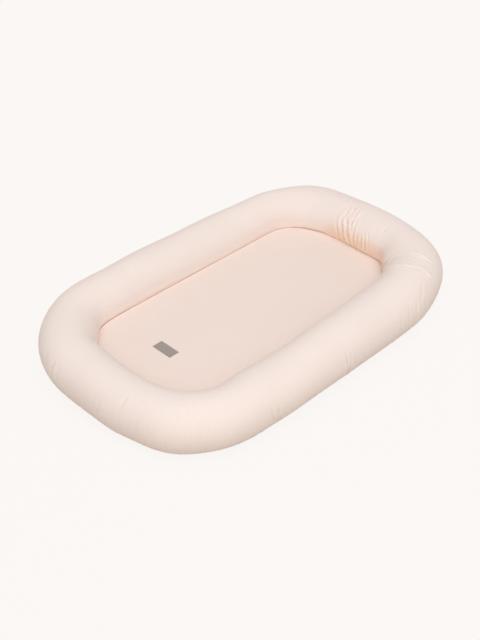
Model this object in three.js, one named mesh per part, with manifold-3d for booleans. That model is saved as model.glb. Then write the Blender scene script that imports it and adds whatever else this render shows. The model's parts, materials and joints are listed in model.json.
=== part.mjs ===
// Infant lounger: a stuffed bolster ring in a zipped cover, the cloth across its bottom, and a foam
// mattress in a zipped cover of its own, which lifts out.
// Millimetres, +Z up. The origin is on the floor under the middle of the ring. +X is the head end and
// +Y the left side of a child lying in it.

import * as THREE from "three";
import { mergeVertices } from "three/addons/utils/BufferGeometryUtils.js";
import Module from "manifold-3d";

const wasm = await Module();
wasm.setup();

// Whole nest
const LENGTH = 800;
const WIDTH = 512;
const BOLSTER_WIDTH = 105;
const BOLSTER_HEIGHT = 96;
const FLATTENED = 6; // how far the floor presses in the underside of the round bolster

// Corner radii seen from above, as shares of the ring's width outside and of the well's width inside
const OUTER_RADIUS_SHARES = { headLeft: 0.373, footLeft: 0.395, footRight: 0.361, headRight: 0.426 };
const WELL_RADIUS_SHARES = { headLeft: 0.265, footLeft: 0.252, footRight: 0.265, headRight: 0.278 };

// Cloth, and the room that sewn and stuffed pieces leave each other
const SEAT_GAP = 0.3;
const COVER_CLOTH = 1.2;
const LINER_CLOTH = 0.8;
const MATTRESS_CLOTH = 1.0;
const ROLL_EASE = 3.6; // between the cover and the stuffed roll, which lies on the cover's underside
const OVERRUN = 2; // how far a cut runs past what it cuts

// The stuffed roll is bent round until its ends meet at the head end
const ROLL_END_GAP = 3;
const ROLL_END_DEPTH = 25;
const MOUTH_SHARE = 0.14; // the drawn-in mouth of the liner, as a share of its section

// Gathers of the cover, which slant across the bolster at the head end. The shares say where they begin
// and end along its straight run, from right to left, on the outside and at the well.
const GATHER_COUNT = 3;
const GATHER_DEPTH = 2;
const GATHER_OUTER_SHARES = [0.54, 0.94];
const GATHER_WELL_SHARES = [0.16, 0.47];

// Cloth across the bottom of the ring
const BASE_CLOTH = 1.0;
const BASE_HEIGHT = 2;
const BASE_EDGE_GAP = 0.6;

// Mattress
const MATTRESS_THICKNESS = 34;
const MATTRESS_EASE = 0.6; // round the mattress, at the bolster's widest
const SEAM_HEIGHT = 20; // above the mattress's underside, where the two halves of its cover meet
const DRAWN_IN = 9; // how far the sides slope in from the seam to the underside
// The soft upper edge: how far in, as shares of EDGE_WIDTH, and how high, as shares of what is above the seam
const EDGE_WIDTH = 12;
const EDGE_IN_SHARES = [0, 0.1, 0.4, 1];
const EDGE_UP_SHARES = [0, 0.5, 0.86, 1];

// Label near the foot end of the mattress
const LABEL_LENGTH = 46;
const LABEL_WIDTH = 22;
const LABEL_THICKNESS = 0.6;
const LABEL_CORNER = 1;
const LABEL_X = -201;
const LABEL_Y = 13;
const STITCH_WIDTH = 0.6;
const STITCH_THICKNESS = 0.3;
const STITCH_INSET = 1.2;

// Zips. A zip's own frame has its length along x, its width along y and its outside towards +z, with
// the outer face of the cover at z = 0.
const BOLSTER_ZIP_TO_CORNER = 50;
const MATTRESS_ZIP_TO_CORNER = 75;
const BOLSTER_ZIP_ANGLE = Math.PI / 6; // below the bolster's widest, seen along it
const SLOT_WIDTH = 9.6;
const SLOT_END = 3; // room past each stop
const TAPE_WIDTH = 7.5;
const TAPE_THICKNESS = 0.8;
const TAPE_END = 8; // how far the tapes run past the slot
const COIL_WIDTH = 2.2;
const COIL_HEIGHT = 2;
const COIL_CHAMFER = 0.5;
const CHAIN_GAP = 1.2; // between the two rows, where the slider's post runs
const STOP_LENGTH = 2;
const STOP_HEIGHT = 2.2;
const SLIDER_LENGTH = 13;
const SLIDER_PLATE = 1;
const SLIDER_WALL = 0.9;
const SLIDER_NOSE = 2.2; // how much narrower the plate's closed end is than its middle
const SLIDER_CORNER = 4;
const POST_WIDTH = 0.6;
const POST_LENGTH = 2.4;
const CROWN_THICKNESS = 1.6;
const CROWN_HOLE_RADIUS = 1.1;
const CROWN_WALL = 1;
const CROWN_RISE = 1.5; // from the slider's plate to the hole's centre
const PULL_LENGTH = 22;
const PULL_EYE_WIDTH = 5.6;
const PULL_END_WIDTH = 4.6;
const PULL_THICKNESS = 1;
const PULL_BAR = 1;
const PULL_EYE_LENGTH = 2.6;
const PULL_EYE_SIDE = 0.4; // between the eye and the crown at each side

// Fineness
const CORNER_STEPS = 7;
const UPPER_STEPS = 8; // of the bolster's section
const END_STEPS = 4;
const ARC_STEPS = 12;

// Worked out from the sizes above
const RADIUS_UP = (BOLSTER_HEIGHT + FLATTENED) / 2;
const MIDDLE_HEIGHT = BOLSTER_HEIGHT - RADIUS_UP;
const HALF_LENGTH = LENGTH / 2;
const HALF_WIDTH = WIDTH / 2;
const WELL_HALF_LENGTH = HALF_LENGTH - BOLSTER_WIDTH;
const WELL_HALF_WIDTH = HALF_WIDTH - BOLSTER_WIDTH;
const LINER_INSET = COVER_CLOTH + ROLL_EASE;
const LINER_FLOOR = COVER_CLOTH + SEAT_GAP;
const FILLING_INSET = LINER_INSET + LINER_CLOTH + SEAT_GAP;
const FILLING_FLOOR = LINER_FLOOR + LINER_CLOTH + SEAT_GAP;
const MATTRESS_FLOOR = BASE_HEIGHT + BASE_CLOTH + SEAT_GAP;
const MATTRESS_TOP = MATTRESS_FLOOR + MATTRESS_THICKNESS;
const MATTRESS_SEAM = MATTRESS_FLOOR + SEAM_HEIGHT;
const OUTER_RADIUS = everyCorner(OUTER_RADIUS_SHARES, (share) => share * WIDTH);
const WELL_RADIUS = everyCorner(WELL_RADIUS_SHARES, (share) => share * 2 * WELL_HALF_WIDTH);
const ROLL_MEETS_Y = (OUTER_RADIUS.headRight - OUTER_RADIUS.headLeft) / 2;
const CHAIN_HALF = CHAIN_GAP / 2 + COIL_WIDTH;
const TAPES_HALF = CHAIN_GAP / 2 + TAPE_WIDTH;
const ZIP_BAND_ANGLE = Math.asin((TAPES_HALF + 2 * SEAT_GAP) / (RADIUS_UP - COVER_CLOTH));
const SLIDER_HALF = CHAIN_HALF + SEAT_GAP + SLIDER_WALL;

// The four corners' values, each changed in the same way.
function everyCorner(values, change) {
  return Object.fromEntries(Object.entries(values).map(([corner, value]) => [corner, change(value)]));
}

// Materials
const cloth = (color, roughness = 0.95) => new THREE.MeshStandardMaterial({ color, roughness });
const blushCotton = cloth(0xf0e3d9);
const plainCotton = cloth(0xf2e6dc, 0.9);
const linerCloth = cloth(0xf4f1ec);
const fibre = cloth(0xfbfaf6, 1);
const foam = cloth(0xf3ead0, 1);
const zipTape = cloth(0xead9cc);
const labelCloth = cloth(0xa59b94, 0.85);
const thread = cloth(0x8f857f, 0.8);
const coilPlastic = new THREE.MeshStandardMaterial({ color: 0xf1e8df, roughness: 0.4 });
const sliderMetal = new THREE.MeshStandardMaterial({ color: 0xd8d2cb, roughness: 0.35, metalness: 0.9 });

// Joins and cuts

function solid(geometry) {
  const bare = geometry.clone();
  bare.deleteAttribute("normal");
  bare.deleteAttribute("uv");
  const merged = mergeVertices(bare);
  return new wasm.Manifold(
    new wasm.Mesh({
      numProp: 3,
      vertProperties: merged.attributes.position.array,
      triVerts: new Uint32Array(merged.index.array),
    }),
  );
}

function geometryOf(made) {
  const mesh = made.getMesh();
  const geometry = new THREE.BufferGeometry();
  geometry.setAttribute("position", new THREE.BufferAttribute(mesh.vertProperties, mesh.numProp));
  geometry.setIndex(new THREE.BufferAttribute(mesh.triVerts, 1));
  return shaded(geometry);
}

function shaded(geometry) {
  const loose = geometry.index ? geometry.toNonIndexed() : geometry;
  loose.computeVertexNormals();
  return loose;
}

function join(first, ...others) {
  return geometryOf(others.reduce((made, other) => made.add(solid(other)), solid(first)));
}

function cut(first, ...tools) {
  return geometryOf(tools.reduce((made, tool) => made.subtract(solid(tool)), solid(first)));
}

// Shapes

// A box from the ranges that it fills along x, y and z.
function block([x0, x1], [y0, y1], [z0, z1]) {
  return new THREE.BoxGeometry(x1 - x0, y1 - y0, z1 - z0).translate(
    (x0 + x1) / 2,
    (y0 + y1) / 2,
    (z0 + z1) / 2,
  );
}

function extruded(shape, depth) {
  return new THREE.ExtrudeGeometry(shape, { depth, bevelEnabled: false, curveSegments: ARC_STEPS });
}

function roundedShape(length, width, radius) {
  const [x, y] = [length / 2, width / 2];
  const shape = new THREE.Shape();
  shape.moveTo(-x + radius, -y);
  shape.lineTo(x - radius, -y);
  shape.absarc(x - radius, -y + radius, radius, -Math.PI / 2, 0);
  shape.lineTo(x, y - radius);
  shape.absarc(x - radius, y - radius, radius, 0, Math.PI / 2);
  shape.lineTo(-x + radius, y);
  shape.absarc(-x + radius, y - radius, radius, Math.PI / 2, Math.PI);
  shape.lineTo(-x, -y + radius);
  shape.absarc(-x + radius, -y + radius, radius, Math.PI, 1.5 * Math.PI);
  return shape;
}

// The closed skin through rings of equally many points, each ring a list of Vector3. Each ring goes
// anticlockwise round the way that the rings follow each other. looped joins the last ring to the
// first, and otherwise both ends are closed by a fan.
function skin(rings, looped = false) {
  const size = rings[0].length;
  const points = rings.flat();
  const faces = [];
  const last = looped ? rings.length : rings.length - 1;
  for (let ring = 0; ring < last; ring++) {
    const here = ring * size;
    const next = ((ring + 1) % rings.length) * size;
    for (let i = 0; i < size; i++) {
      const j = (i + 1) % size;
      faces.push(here + i, here + j, next + j);
      faces.push(here + i, next + j, next + i);
    }
  }
  if (!looped) {
    const ends = [0, rings.length - 1];
    for (const end of ends) {
      const middle = rings[end].reduce((sum, point) => sum.add(point), new THREE.Vector3());
      points.push(middle.divideScalar(size));
      for (let i = 0; i < size; i++) {
        const pair = [end * size + i, end * size + ((i + 1) % size)];
        if (end === 0) pair.reverse();
        faces.push(points.length - 1, ...pair);
      }
    }
  }
  const geometry = new THREE.BufferGeometry().setFromPoints(points);
  geometry.setIndex(faces);
  return shaded(geometry);
}

// The skin of a closed tube with walls: an outer and an inner looped skin in one geometry.
function pipe(outerRings, innerRings) {
  const inner = innerRings.map((ring) => [...ring].reverse());
  const both = [skin(outerRings, true), skin(inner, true)].map((part) => part.attributes.position.array);
  const positions = new Float32Array(both[0].length + both[1].length);
  positions.set(both[0]);
  positions.set(both[1], both[0].length);
  const geometry = new THREE.BufferGeometry();
  geometry.setAttribute("position", new THREE.BufferAttribute(positions, 3));
  return shaded(geometry);
}

// A rounded rectangle seen from above, anticlockwise from the middle of its head end, as Vector2.
function roundedOutline(halfLength, halfWidth, radius) {
  const corners = [
    [1, 1, radius.headLeft],
    [-1, 1, radius.footLeft],
    [-1, -1, radius.footRight],
    [1, -1, radius.headRight],
  ];
  return corners.flatMap(([sideX, sideY, r], corner) =>
    Array.from({ length: CORNER_STEPS + 1 }, (_, step) => {
      const angle = ((corner + step / CORNER_STEPS) * Math.PI) / 2;
      const x = sideX * (halfLength - r) + r * Math.cos(angle);
      const y = sideY * (halfWidth - r) + r * Math.sin(angle);
      return new THREE.Vector2(x, y);
    }),
  );
}

// Bolster

// A station is where the bolster has a cross-section: its middle, the way outwards and half its width.
function station(outer, well, drawn = 0) {
  const across = outer.clone().sub(well);
  const half = across.length() / 2;
  return { middle: outer.clone().add(well).divideScalar(2), across: across.normalize(), half, drawn };
}

function cornerStations() {
  const outer = roundedOutline(HALF_LENGTH, HALF_WIDTH, OUTER_RADIUS);
  const well = roundedOutline(WELL_HALF_LENGTH, WELL_HALF_WIDTH, WELL_RADIUS);
  return outer.map((point, i) => station(point, well[i]));
}

// A station on the straight run of the head end.
function headStation(outerY, wellY, drawn = 0) {
  const outer = new THREE.Vector2(HALF_LENGTH, outerY);
  return station(outer, new THREE.Vector2(WELL_HALF_LENGTH, wellY), drawn);
}

// A place along the head end's straight run between two corners, by its share from right to left.
function headPlace(halfWidth, radius, share) {
  return (halfWidth - radius.headLeft) * share - (halfWidth - radius.headRight) * (1 - share);
}

// The gathers, as ridges that stay out and valleys that are drawn in.
function gatherStations() {
  const steps = 2 * GATHER_COUNT;
  const between = ([from, to], step) => from + ((to - from) * step) / steps;
  return Array.from({ length: steps + 1 }, (_, step) => {
    const outerY = headPlace(HALF_WIDTH, OUTER_RADIUS, between(GATHER_OUTER_SHARES, step));
    const wellY = headPlace(WELL_HALF_WIDTH, WELL_RADIUS, between(GATHER_WELL_SHARES, step));
    return headStation(outerY, wellY, step % 2 ? GATHER_DEPTH : 0);
  });
}

// The cross-section as pairs of how far outwards and how high: an ellipse whose underside lies flat at
// floor, drawn in all round by inset. Its second flat, below the widest, is as wide as the zip's tapes.
function section(half, inset, floor) {
  const radiusAcross = half - inset;
  const radiusUp = RADIUS_UP - inset;
  const low = Math.asin((MIDDLE_HEIGHT - floor) / radiusUp);
  const lower = [low, BOLSTER_ZIP_ANGLE + ZIP_BAND_ANGLE, BOLSTER_ZIP_ANGLE - ZIP_BAND_ANGLE].map(
    (angle) => -angle,
  );
  const upper = Array.from({ length: UPPER_STEPS + 1 }, (_, i) => (i / UPPER_STEPS) * Math.PI);
  const back = lower.map((angle) => Math.PI - angle).reverse();
  return [...lower, ...upper, ...back].map((angle) => [
    radiusAcross * Math.cos(angle),
    MIDDLE_HEIGHT + radiusUp * Math.sin(angle),
  ]);
}

// One ring of points at a station, share of its full size about its middle.
function sectionRing({ middle, across, half, drawn }, inset, floor, share = 1) {
  const ring = section(half, inset + drawn, floor).map(([out, up]) => {
    const flat = middle.clone().addScaledVector(across, out * share);
    return new THREE.Vector3(flat.x, flat.y, MIDDLE_HEIGHT + (up - MIDDLE_HEIGHT) * share);
  });
  return ring.reverse();
}

function ringOf(inset, floor) {
  return [...gatherStations(), ...cornerStations()].map((at) => sectionRing(at, inset, floor));
}

// The stuffed roll's rings from one end round to the other. Its ends are domed.
function rollRings(inset, floor, endInset) {
  const end = Array.from({ length: END_STEPS + 1 }, (_, step) => {
    const start = Math.asin(MOUTH_SHARE);
    const angle = start + (step / END_STEPS) * (Math.PI / 2 - start);
    const back = ROLL_END_GAP / 2 + endInset + ROLL_END_DEPTH * (1 - Math.cos(angle));
    return { back, share: Math.sin(angle) };
  });
  const endRing = (side, { back, share }) => {
    const y = ROLL_MEETS_Y + side * back;
    return sectionRing(headStation(y, y), inset, floor, share);
  };
  return [
    ...end.map((ring) => endRing(1, ring)),
    ...cornerStations().map((at) => sectionRing(at, inset, floor)),
    ...end.map((ring) => endRing(-1, ring)).reverse(),
  ];
}

function bolsterFilling() {
  return skin(rollRings(FILLING_INSET, FILLING_FLOOR, LINER_CLOTH + SEAT_GAP));
}

// The casing goes out over the roll and back inside it, so its skin is one looped run of rings.
function bolsterLiner() {
  const outside = rollRings(LINER_INSET, LINER_FLOOR, 0);
  const inside = rollRings(LINER_INSET + LINER_CLOTH, LINER_FLOOR + LINER_CLOTH, LINER_CLOTH);
  return skin([...outside, ...inside.reverse()], true);
}

function bolsterCover() {
  const walls = pipe(ringOf(0, 0), ringOf(COVER_CLOTH, COVER_CLOTH));
  const zip = bolsterZip();
  return cut(walls, zipSlot(zip.length, COVER_CLOTH).applyMatrix4(zip.frame));
}

// How far the bolster's section reaches inwards from its middle at a height below its first step.
function lowReach(half, height) {
  const [[foot, footHeight], [next, nextHeight]] = section(half, 0, 0);
  return foot + ((next - foot) * (height - footHeight)) / (nextHeight - footHeight);
}

function basePanel() {
  const ringAt = (height) =>
    cornerStations().map(({ middle, across, half }) => {
      const edge = lowReach(half, BASE_HEIGHT + BASE_CLOTH) + BASE_EDGE_GAP;
      const flat = middle.clone().addScaledVector(across, -edge);
      return new THREE.Vector3(flat.x, flat.y, height);
    });
  return skin([ringAt(BASE_HEIGHT), ringAt(BASE_HEIGHT + BASE_CLOTH)]);
}

// Mattress

// One ring of the mattress's outline, inset from its widest, at a height.
function mattressRing(inset, height) {
  const all = MATTRESS_EASE + inset;
  const radius = everyCorner(WELL_RADIUS, (r) => r - all);
  return roundedOutline(WELL_HALF_LENGTH - all, WELL_HALF_WIDTH - all, radius).map(
    (point) => new THREE.Vector3(point.x, point.y, height),
  );
}

// The rings above the seam, each with the cloth that is already spent.
function upperRings(spent) {
  const rise = MATTRESS_TOP - spent - MATTRESS_SEAM;
  return EDGE_IN_SHARES.map((share, i) =>
    mattressRing(spent + share * EDGE_WIDTH, MATTRESS_SEAM + rise * EDGE_UP_SHARES[i]),
  );
}

// The rings below the seam, from a height down to the underside.
function lowerRings(spent, top) {
  const slope = DRAWN_IN / SEAM_HEIGHT;
  const heights = [top, MATTRESS_FLOOR + spent];
  return heights.map((height) => mattressRing(spent + slope * (MATTRESS_SEAM - height), height));
}

function mattressFoam() {
  const spent = MATTRESS_CLOTH + SEAT_GAP;
  const [, underside] = lowerRings(spent, MATTRESS_SEAM);
  const body = skin([underside, ...upperRings(spent)]);
  const zip = mattressZip();
  const depth = MATTRESS_CLOTH + TAPE_THICKNESS + SLIDER_PLATE + 3 * SEAT_GAP;
  const half = tapeHalf(zip.length) + SEAT_GAP;
  const side = TAPES_HALF + SEAT_GAP;
  return cut(body, block([-half, half], [-side, side], [-depth, OVERRUN]).applyMatrix4(zip.frame));
}

function mattressCoverTop() {
  const rings = [...upperRings(0).reverse(), ...upperRings(MATTRESS_CLOTH)];
  return skin(rings.map((ring) => ring.reverse()));
}

function mattressCoverBottom() {
  const top = MATTRESS_SEAM - SEAT_GAP;
  const outside = lowerRings(0, top);
  const inside = lowerRings(MATTRESS_CLOTH, top);
  const zip = mattressZip();
  const slot = zipSlot(zip.length, MATTRESS_CLOTH).applyMatrix4(zip.frame);
  return cut(skin([...outside.reverse(), ...inside]), slot);
}

function labelPatch() {
  const shape = roundedShape(LABEL_WIDTH, LABEL_LENGTH, LABEL_CORNER);
  return extruded(shape, LABEL_THICKNESS).translate(LABEL_X, LABEL_Y, MATTRESS_TOP + SEAT_GAP);
}

function labelStitching() {
  const inner = STITCH_INSET + STITCH_WIDTH;
  const outline = (inset) => [LABEL_WIDTH - 2 * inset, LABEL_LENGTH - 2 * inset];
  const shape = roundedShape(...outline(STITCH_INSET), STITCH_WIDTH);
  shape.holes.push(roundedShape(...outline(inner), STITCH_WIDTH / 2));
  const height = MATTRESS_TOP + SEAT_GAP + LABEL_THICKNESS + SEAT_GAP;
  return extruded(shape, STITCH_THICKNESS).translate(LABEL_X, LABEL_Y, height);
}

// Zips

// Where a zip on the left side lies and how long it is. The cover slopes from a low to a high point of
// its section, each a pair of y and z, and is straight between a foot and a head corner, each an x. The
// zip's own x runs towards the foot end.
function zipPlace([lowY, lowZ], [highY, highZ], [footX, headX], toCorner) {
  const along = new THREE.Vector3(-1, 0, 0);
  const up = new THREE.Vector3(0, highY - lowY, highZ - lowZ).normalize();
  const out = along.clone().cross(up);
  const frame = new THREE.Matrix4().makeBasis(along, up, out);
  frame.setPosition((footX + headX) / 2, (lowY + highY) / 2, (lowZ + highZ) / 2);
  return { frame, length: headX - footX - 2 * toCorner };
}

function straightRun(halfLength, radius) {
  return [radius.footLeft - halfLength, halfLength - radius.headLeft];
}

function bolsterZip() {
  const middle = HALF_WIDTH - BOLSTER_WIDTH / 2;
  const [, low, high] = section(BOLSTER_WIDTH / 2, 0, 0).map(([out, up]) => [middle + out, up]);
  return zipPlace(low, high, straightRun(HALF_LENGTH, OUTER_RADIUS), BOLSTER_ZIP_TO_CORNER);
}

function mattressZip() {
  const seamY = WELL_HALF_WIDTH - MATTRESS_EASE;
  const low = [seamY - DRAWN_IN, MATTRESS_FLOOR];
  const run = straightRun(WELL_HALF_LENGTH, WELL_RADIUS);
  return zipPlace(low, [seamY, MATTRESS_SEAM], run, MATTRESS_ZIP_TO_CORNER);
}

function zipSlot(length, thickness) {
  const half = length / 2 + STOP_LENGTH + SLOT_END;
  return block([-half, half], [-SLOT_WIDTH / 2, SLOT_WIDTH / 2], [-thickness - SEAT_GAP / 2, OVERRUN]);
}

// The heights of a zip's layers in its own frame, for a cover of a given thickness.
function zipLevels(thickness) {
  const tapeTop = -thickness - SEAT_GAP;
  const tapeBottom = tapeTop - TAPE_THICKNESS;
  const coilBottom = tapeTop + SEAT_GAP;
  const plateBottom = coilBottom + COIL_HEIGHT + SEAT_GAP;
  const plateTop = plateBottom + SLIDER_PLATE;
  const backTop = tapeBottom - SEAT_GAP;
  return { tapeTop, tapeBottom, coilBottom, plateBottom, plateTop, backTop };
}

function tapeHalf(length) {
  return length / 2 + STOP_LENGTH + SLOT_END + TAPE_END;
}

function tape(length, levels, side) {
  const half = tapeHalf(length);
  const edges = [side * (CHAIN_GAP / 2), side * TAPES_HALF].sort((a, b) => a - b);
  return block([-half, half], edges, [levels.tapeBottom, levels.tapeTop]);
}

// One row of teeth: a rail whose outer edges are chamfered.
function coil(length, levels, side) {
  const shape = new THREE.Shape();
  shape.moveTo(0, 0);
  shape.lineTo(COIL_WIDTH, 0);
  shape.lineTo(COIL_WIDTH, COIL_HEIGHT - COIL_CHAMFER);
  shape.lineTo(COIL_WIDTH - COIL_CHAMFER, COIL_HEIGHT);
  shape.lineTo(COIL_CHAMFER, COIL_HEIGHT);
  shape.lineTo(0, COIL_HEIGHT - COIL_CHAMFER);
  const rail = extruded(shape, length).rotateX(Math.PI / 2).rotateZ(Math.PI / 2);
  const nearY = side > 0 ? CHAIN_GAP / 2 : -CHAIN_HALF;
  return rail.translate(-length / 2, nearY, levels.coilBottom);
}

function stop(length, levels, end) {
  const near = length / 2 + SEAT_GAP;
  const ends = [end * near, end * (near + STOP_LENGTH)].sort((a, b) => a - b);
  return block(ends, [-CHAIN_HALF, CHAIN_HALF], [levels.coilBottom, levels.coilBottom + STOP_HEIGHT]);
}

// The slider's plate from above, with its narrower nose towards the closed end, -x.
function sliderPlate(bottom, thickness) {
  const half = SLIDER_LENGTH / 2;
  const nose = SLIDER_HALF - SLIDER_NOSE / 2;
  const shape = new THREE.Shape();
  shape.moveTo(-half, -nose);
  shape.lineTo(-half + SLIDER_CORNER, -SLIDER_HALF);
  shape.lineTo(half - SLIDER_CORNER / 2, -SLIDER_HALF);
  shape.lineTo(half, -SLIDER_HALF + SLIDER_CORNER / 2);
  shape.lineTo(half, SLIDER_HALF - SLIDER_CORNER / 2);
  shape.lineTo(half - SLIDER_CORNER / 2, SLIDER_HALF);
  shape.lineTo(-half + SLIDER_CORNER, SLIDER_HALF);
  shape.lineTo(-half, nose);
  return extruded(shape, thickness).translate(0, 0, bottom);
}

// The arch on the slider that the pull's bar runs through.
function crown(levels) {
  const outer = CROWN_HOLE_RADIUS + CROWN_WALL;
  const shape = new THREE.Shape();
  shape.moveTo(-outer, -CROWN_RISE - SLIDER_PLATE / 2);
  shape.lineTo(outer, -CROWN_RISE - SLIDER_PLATE / 2);
  shape.lineTo(outer, 0);
  shape.absarc(0, 0, outer, 0, Math.PI);
  const hole = new THREE.Path();
  hole.absarc(0, 0, CROWN_HOLE_RADIUS, 0, 2 * Math.PI);
  shape.holes.push(hole);
  const arch = extruded(shape, CROWN_THICKNESS).rotateX(Math.PI / 2);
  return arch.translate(0, CROWN_THICKNESS / 2, levels.plateTop + CROWN_RISE);
}

function slider(levels, withCrown) {
  const front = sliderPlate(levels.plateBottom, SLIDER_PLATE);
  const back = sliderPlate(levels.backTop - SLIDER_PLATE, SLIDER_PLATE);
  const nose = -SLIDER_LENGTH / 2;
  const post = block(
    [nose, nose + POST_LENGTH],
    [-POST_WIDTH / 2, POST_WIDTH / 2],
    [levels.backTop - SLIDER_PLATE / 2, levels.plateTop - SLIDER_PLATE / 2],
  );
  const wallLength = [nose + SLIDER_CORNER, -nose - SLIDER_CORNER / 2];
  const wallHeight = [levels.coilBottom, levels.plateTop - SLIDER_PLATE / 2];
  const walls = [-SLIDER_HALF, SLIDER_HALF - SLIDER_WALL].map((y) =>
    block(wallLength, [y, y + SLIDER_WALL], wallHeight),
  );
  const parts = withCrown ? [back, post, ...walls, crown(levels)] : [back, post, ...walls];
  return join(front, ...parts);
}

// The pull tab in the frame of its own bar, lying along +x.
function pull() {
  const eye = PULL_BAR / 2 + PULL_EYE_LENGTH;
  const eyeHalf = CROWN_THICKNESS / 2 + PULL_EYE_SIDE;
  const tip = PULL_LENGTH - PULL_END_WIDTH / 2;
  const shape = new THREE.Shape();
  shape.moveTo(-PULL_BAR / 2, -PULL_EYE_WIDTH / 2);
  shape.lineTo(eye, -PULL_EYE_WIDTH / 2);
  shape.lineTo(tip, -PULL_END_WIDTH / 2);
  shape.absarc(tip, 0, PULL_END_WIDTH / 2, -Math.PI / 2, Math.PI / 2);
  shape.lineTo(eye, PULL_EYE_WIDTH / 2);
  shape.lineTo(-PULL_BAR / 2, PULL_EYE_WIDTH / 2);
  const opening = new THREE.Path();
  opening.moveTo(PULL_BAR / 2, -eyeHalf);
  opening.lineTo(PULL_BAR / 2, eyeHalf);
  opening.lineTo(eye, eyeHalf);
  opening.lineTo(eye, -eyeHalf);
  shape.holes.push(opening);
  return extruded(shape, PULL_THICKNESS).translate(0, 0, -PULL_THICKNESS / 2);
}

// Assembly

const lounger = new THREE.Group();

function add(parent, name, geometry, material) {
  const mesh = new THREE.Mesh(geometry, material);
  mesh.name = name;
  parent.add(mesh);
  return mesh;
}

// A whole zip, closed, with its slider at the head end.
function addZip(prefix, { frame, length }, thickness, withPull) {
  const levels = zipLevels(thickness);
  const zip = new THREE.Group();
  frame.decompose(zip.position, zip.quaternion, zip.scale);
  lounger.add(zip);
  add(zip, prefix + "_zip_tape_upper", tape(length, levels, 1), zipTape);
  add(zip, prefix + "_zip_tape_lower", tape(length, levels, -1), zipTape);
  add(zip, prefix + "_zip_coil_upper", coil(length, levels, 1), coilPlastic);
  add(zip, prefix + "_zip_coil_lower", coil(length, levels, -1), coilPlastic);
  add(zip, prefix + "_zip_closed_stop", stop(length, levels, -1), coilPlastic);
  add(zip, prefix + "_zip_open_stop", stop(length, levels, 1), coilPlastic);
  const runner = new THREE.Group();
  runner.position.x = (SLIDER_LENGTH - length) / 2;
  zip.add(runner);
  add(runner, prefix + "_zip_slider", slider(levels, withPull), sliderMetal);
  if (withPull) {
    const tab = add(runner, prefix + "_zip_pull", pull(), sliderMetal);
    tab.position.z = levels.plateTop + CROWN_RISE;
  }
}

add(lounger, "bolster_cover", bolsterCover(), blushCotton);
add(lounger, "bolster_liner", bolsterLiner(), linerCloth);
add(lounger, "bolster_filling", bolsterFilling(), fibre);
add(lounger, "base_panel", basePanel(), blushCotton);
addZip("bolster", bolsterZip(), COVER_CLOTH, true);
add(lounger, "mattress_foam", mattressFoam(), foam);
add(lounger, "mattress_cover_top", mattressCoverTop(), plainCotton);
add(lounger, "mattress_cover_bottom", mattressCoverBottom(), plainCotton);
addZip("mattress", mattressZip(), MATTRESS_CLOTH, false);
add(lounger, "label_patch", labelPatch(), labelCloth);
add(lounger, "label_stitching", labelStitching(), thread);

export default lounger;
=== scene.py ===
import json
import math

import bmesh
import bpy
import numpy as np
from mathutils import Matrix, Vector, noise
from mathutils.bvhtree import BVHTree

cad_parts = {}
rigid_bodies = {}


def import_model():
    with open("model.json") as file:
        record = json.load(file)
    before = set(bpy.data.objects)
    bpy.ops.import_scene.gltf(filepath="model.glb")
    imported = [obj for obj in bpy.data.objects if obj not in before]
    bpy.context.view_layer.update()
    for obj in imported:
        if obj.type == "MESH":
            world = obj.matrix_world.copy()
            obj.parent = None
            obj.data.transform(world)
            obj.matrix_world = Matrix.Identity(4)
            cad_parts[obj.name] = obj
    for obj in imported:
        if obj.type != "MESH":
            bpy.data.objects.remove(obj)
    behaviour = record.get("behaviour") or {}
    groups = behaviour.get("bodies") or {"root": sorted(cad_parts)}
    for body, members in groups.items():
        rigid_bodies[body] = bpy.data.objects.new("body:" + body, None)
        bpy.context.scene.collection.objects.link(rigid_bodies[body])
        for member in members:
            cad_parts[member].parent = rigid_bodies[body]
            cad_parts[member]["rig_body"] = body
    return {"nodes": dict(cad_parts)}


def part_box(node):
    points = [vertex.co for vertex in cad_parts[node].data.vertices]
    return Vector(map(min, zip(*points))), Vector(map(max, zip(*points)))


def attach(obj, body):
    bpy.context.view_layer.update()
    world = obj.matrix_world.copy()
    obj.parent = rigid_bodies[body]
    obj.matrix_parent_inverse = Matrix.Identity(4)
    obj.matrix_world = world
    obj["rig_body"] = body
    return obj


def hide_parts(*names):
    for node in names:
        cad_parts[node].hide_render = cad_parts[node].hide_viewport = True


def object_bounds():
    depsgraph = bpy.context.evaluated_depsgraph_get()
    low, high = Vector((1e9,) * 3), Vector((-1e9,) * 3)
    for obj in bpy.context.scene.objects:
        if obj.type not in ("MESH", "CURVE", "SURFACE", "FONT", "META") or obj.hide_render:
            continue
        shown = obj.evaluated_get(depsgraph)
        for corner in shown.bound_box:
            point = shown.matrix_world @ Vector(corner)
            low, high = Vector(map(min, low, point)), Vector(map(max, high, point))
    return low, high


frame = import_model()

bl_info = {
    "name": "Infant Lounger",
    "version": (1, 0, 0),
    "blender": (4, 5, 0),
    "location": "3D View > Sidebar > Lounger",
    "description": "Dresses the packed nest in cloth: bolster, mattress, zips, label and a photo stage",
    "category": "Add Mesh",
}

# The frame is in metres, with +X towards the head end, +Y to a child's left and +Z up.
CAD_LOW, CAD_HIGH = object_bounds()
MM = 0.001
OUTER_RADIUS_SHARES = (0.373, 0.395, 0.361, 0.426)
WELL_RADIUS_SHARES = (0.265, 0.252, 0.265, 0.278)
CLOTH_UV = "Cloth"
TINY = 1e-9

# Small sizes that several pieces share
FLOOR_BEND = 2 * MM  # how softly the underside turns up from the floor
BULGE_RAMP = 5 * MM  # over how much height the bolster starts to bulge over the mattress
MERGE_GAP = 0.02 * MM  # points nearer than this become one
THREAD_LIFT = 0.1 * MM  # stitches stand this far off the cloth
STITCHES_BESIDE = 2.6 * MM  # from a zip's slot to the stitches beside it


# Sizes and colours that a user may change


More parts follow.
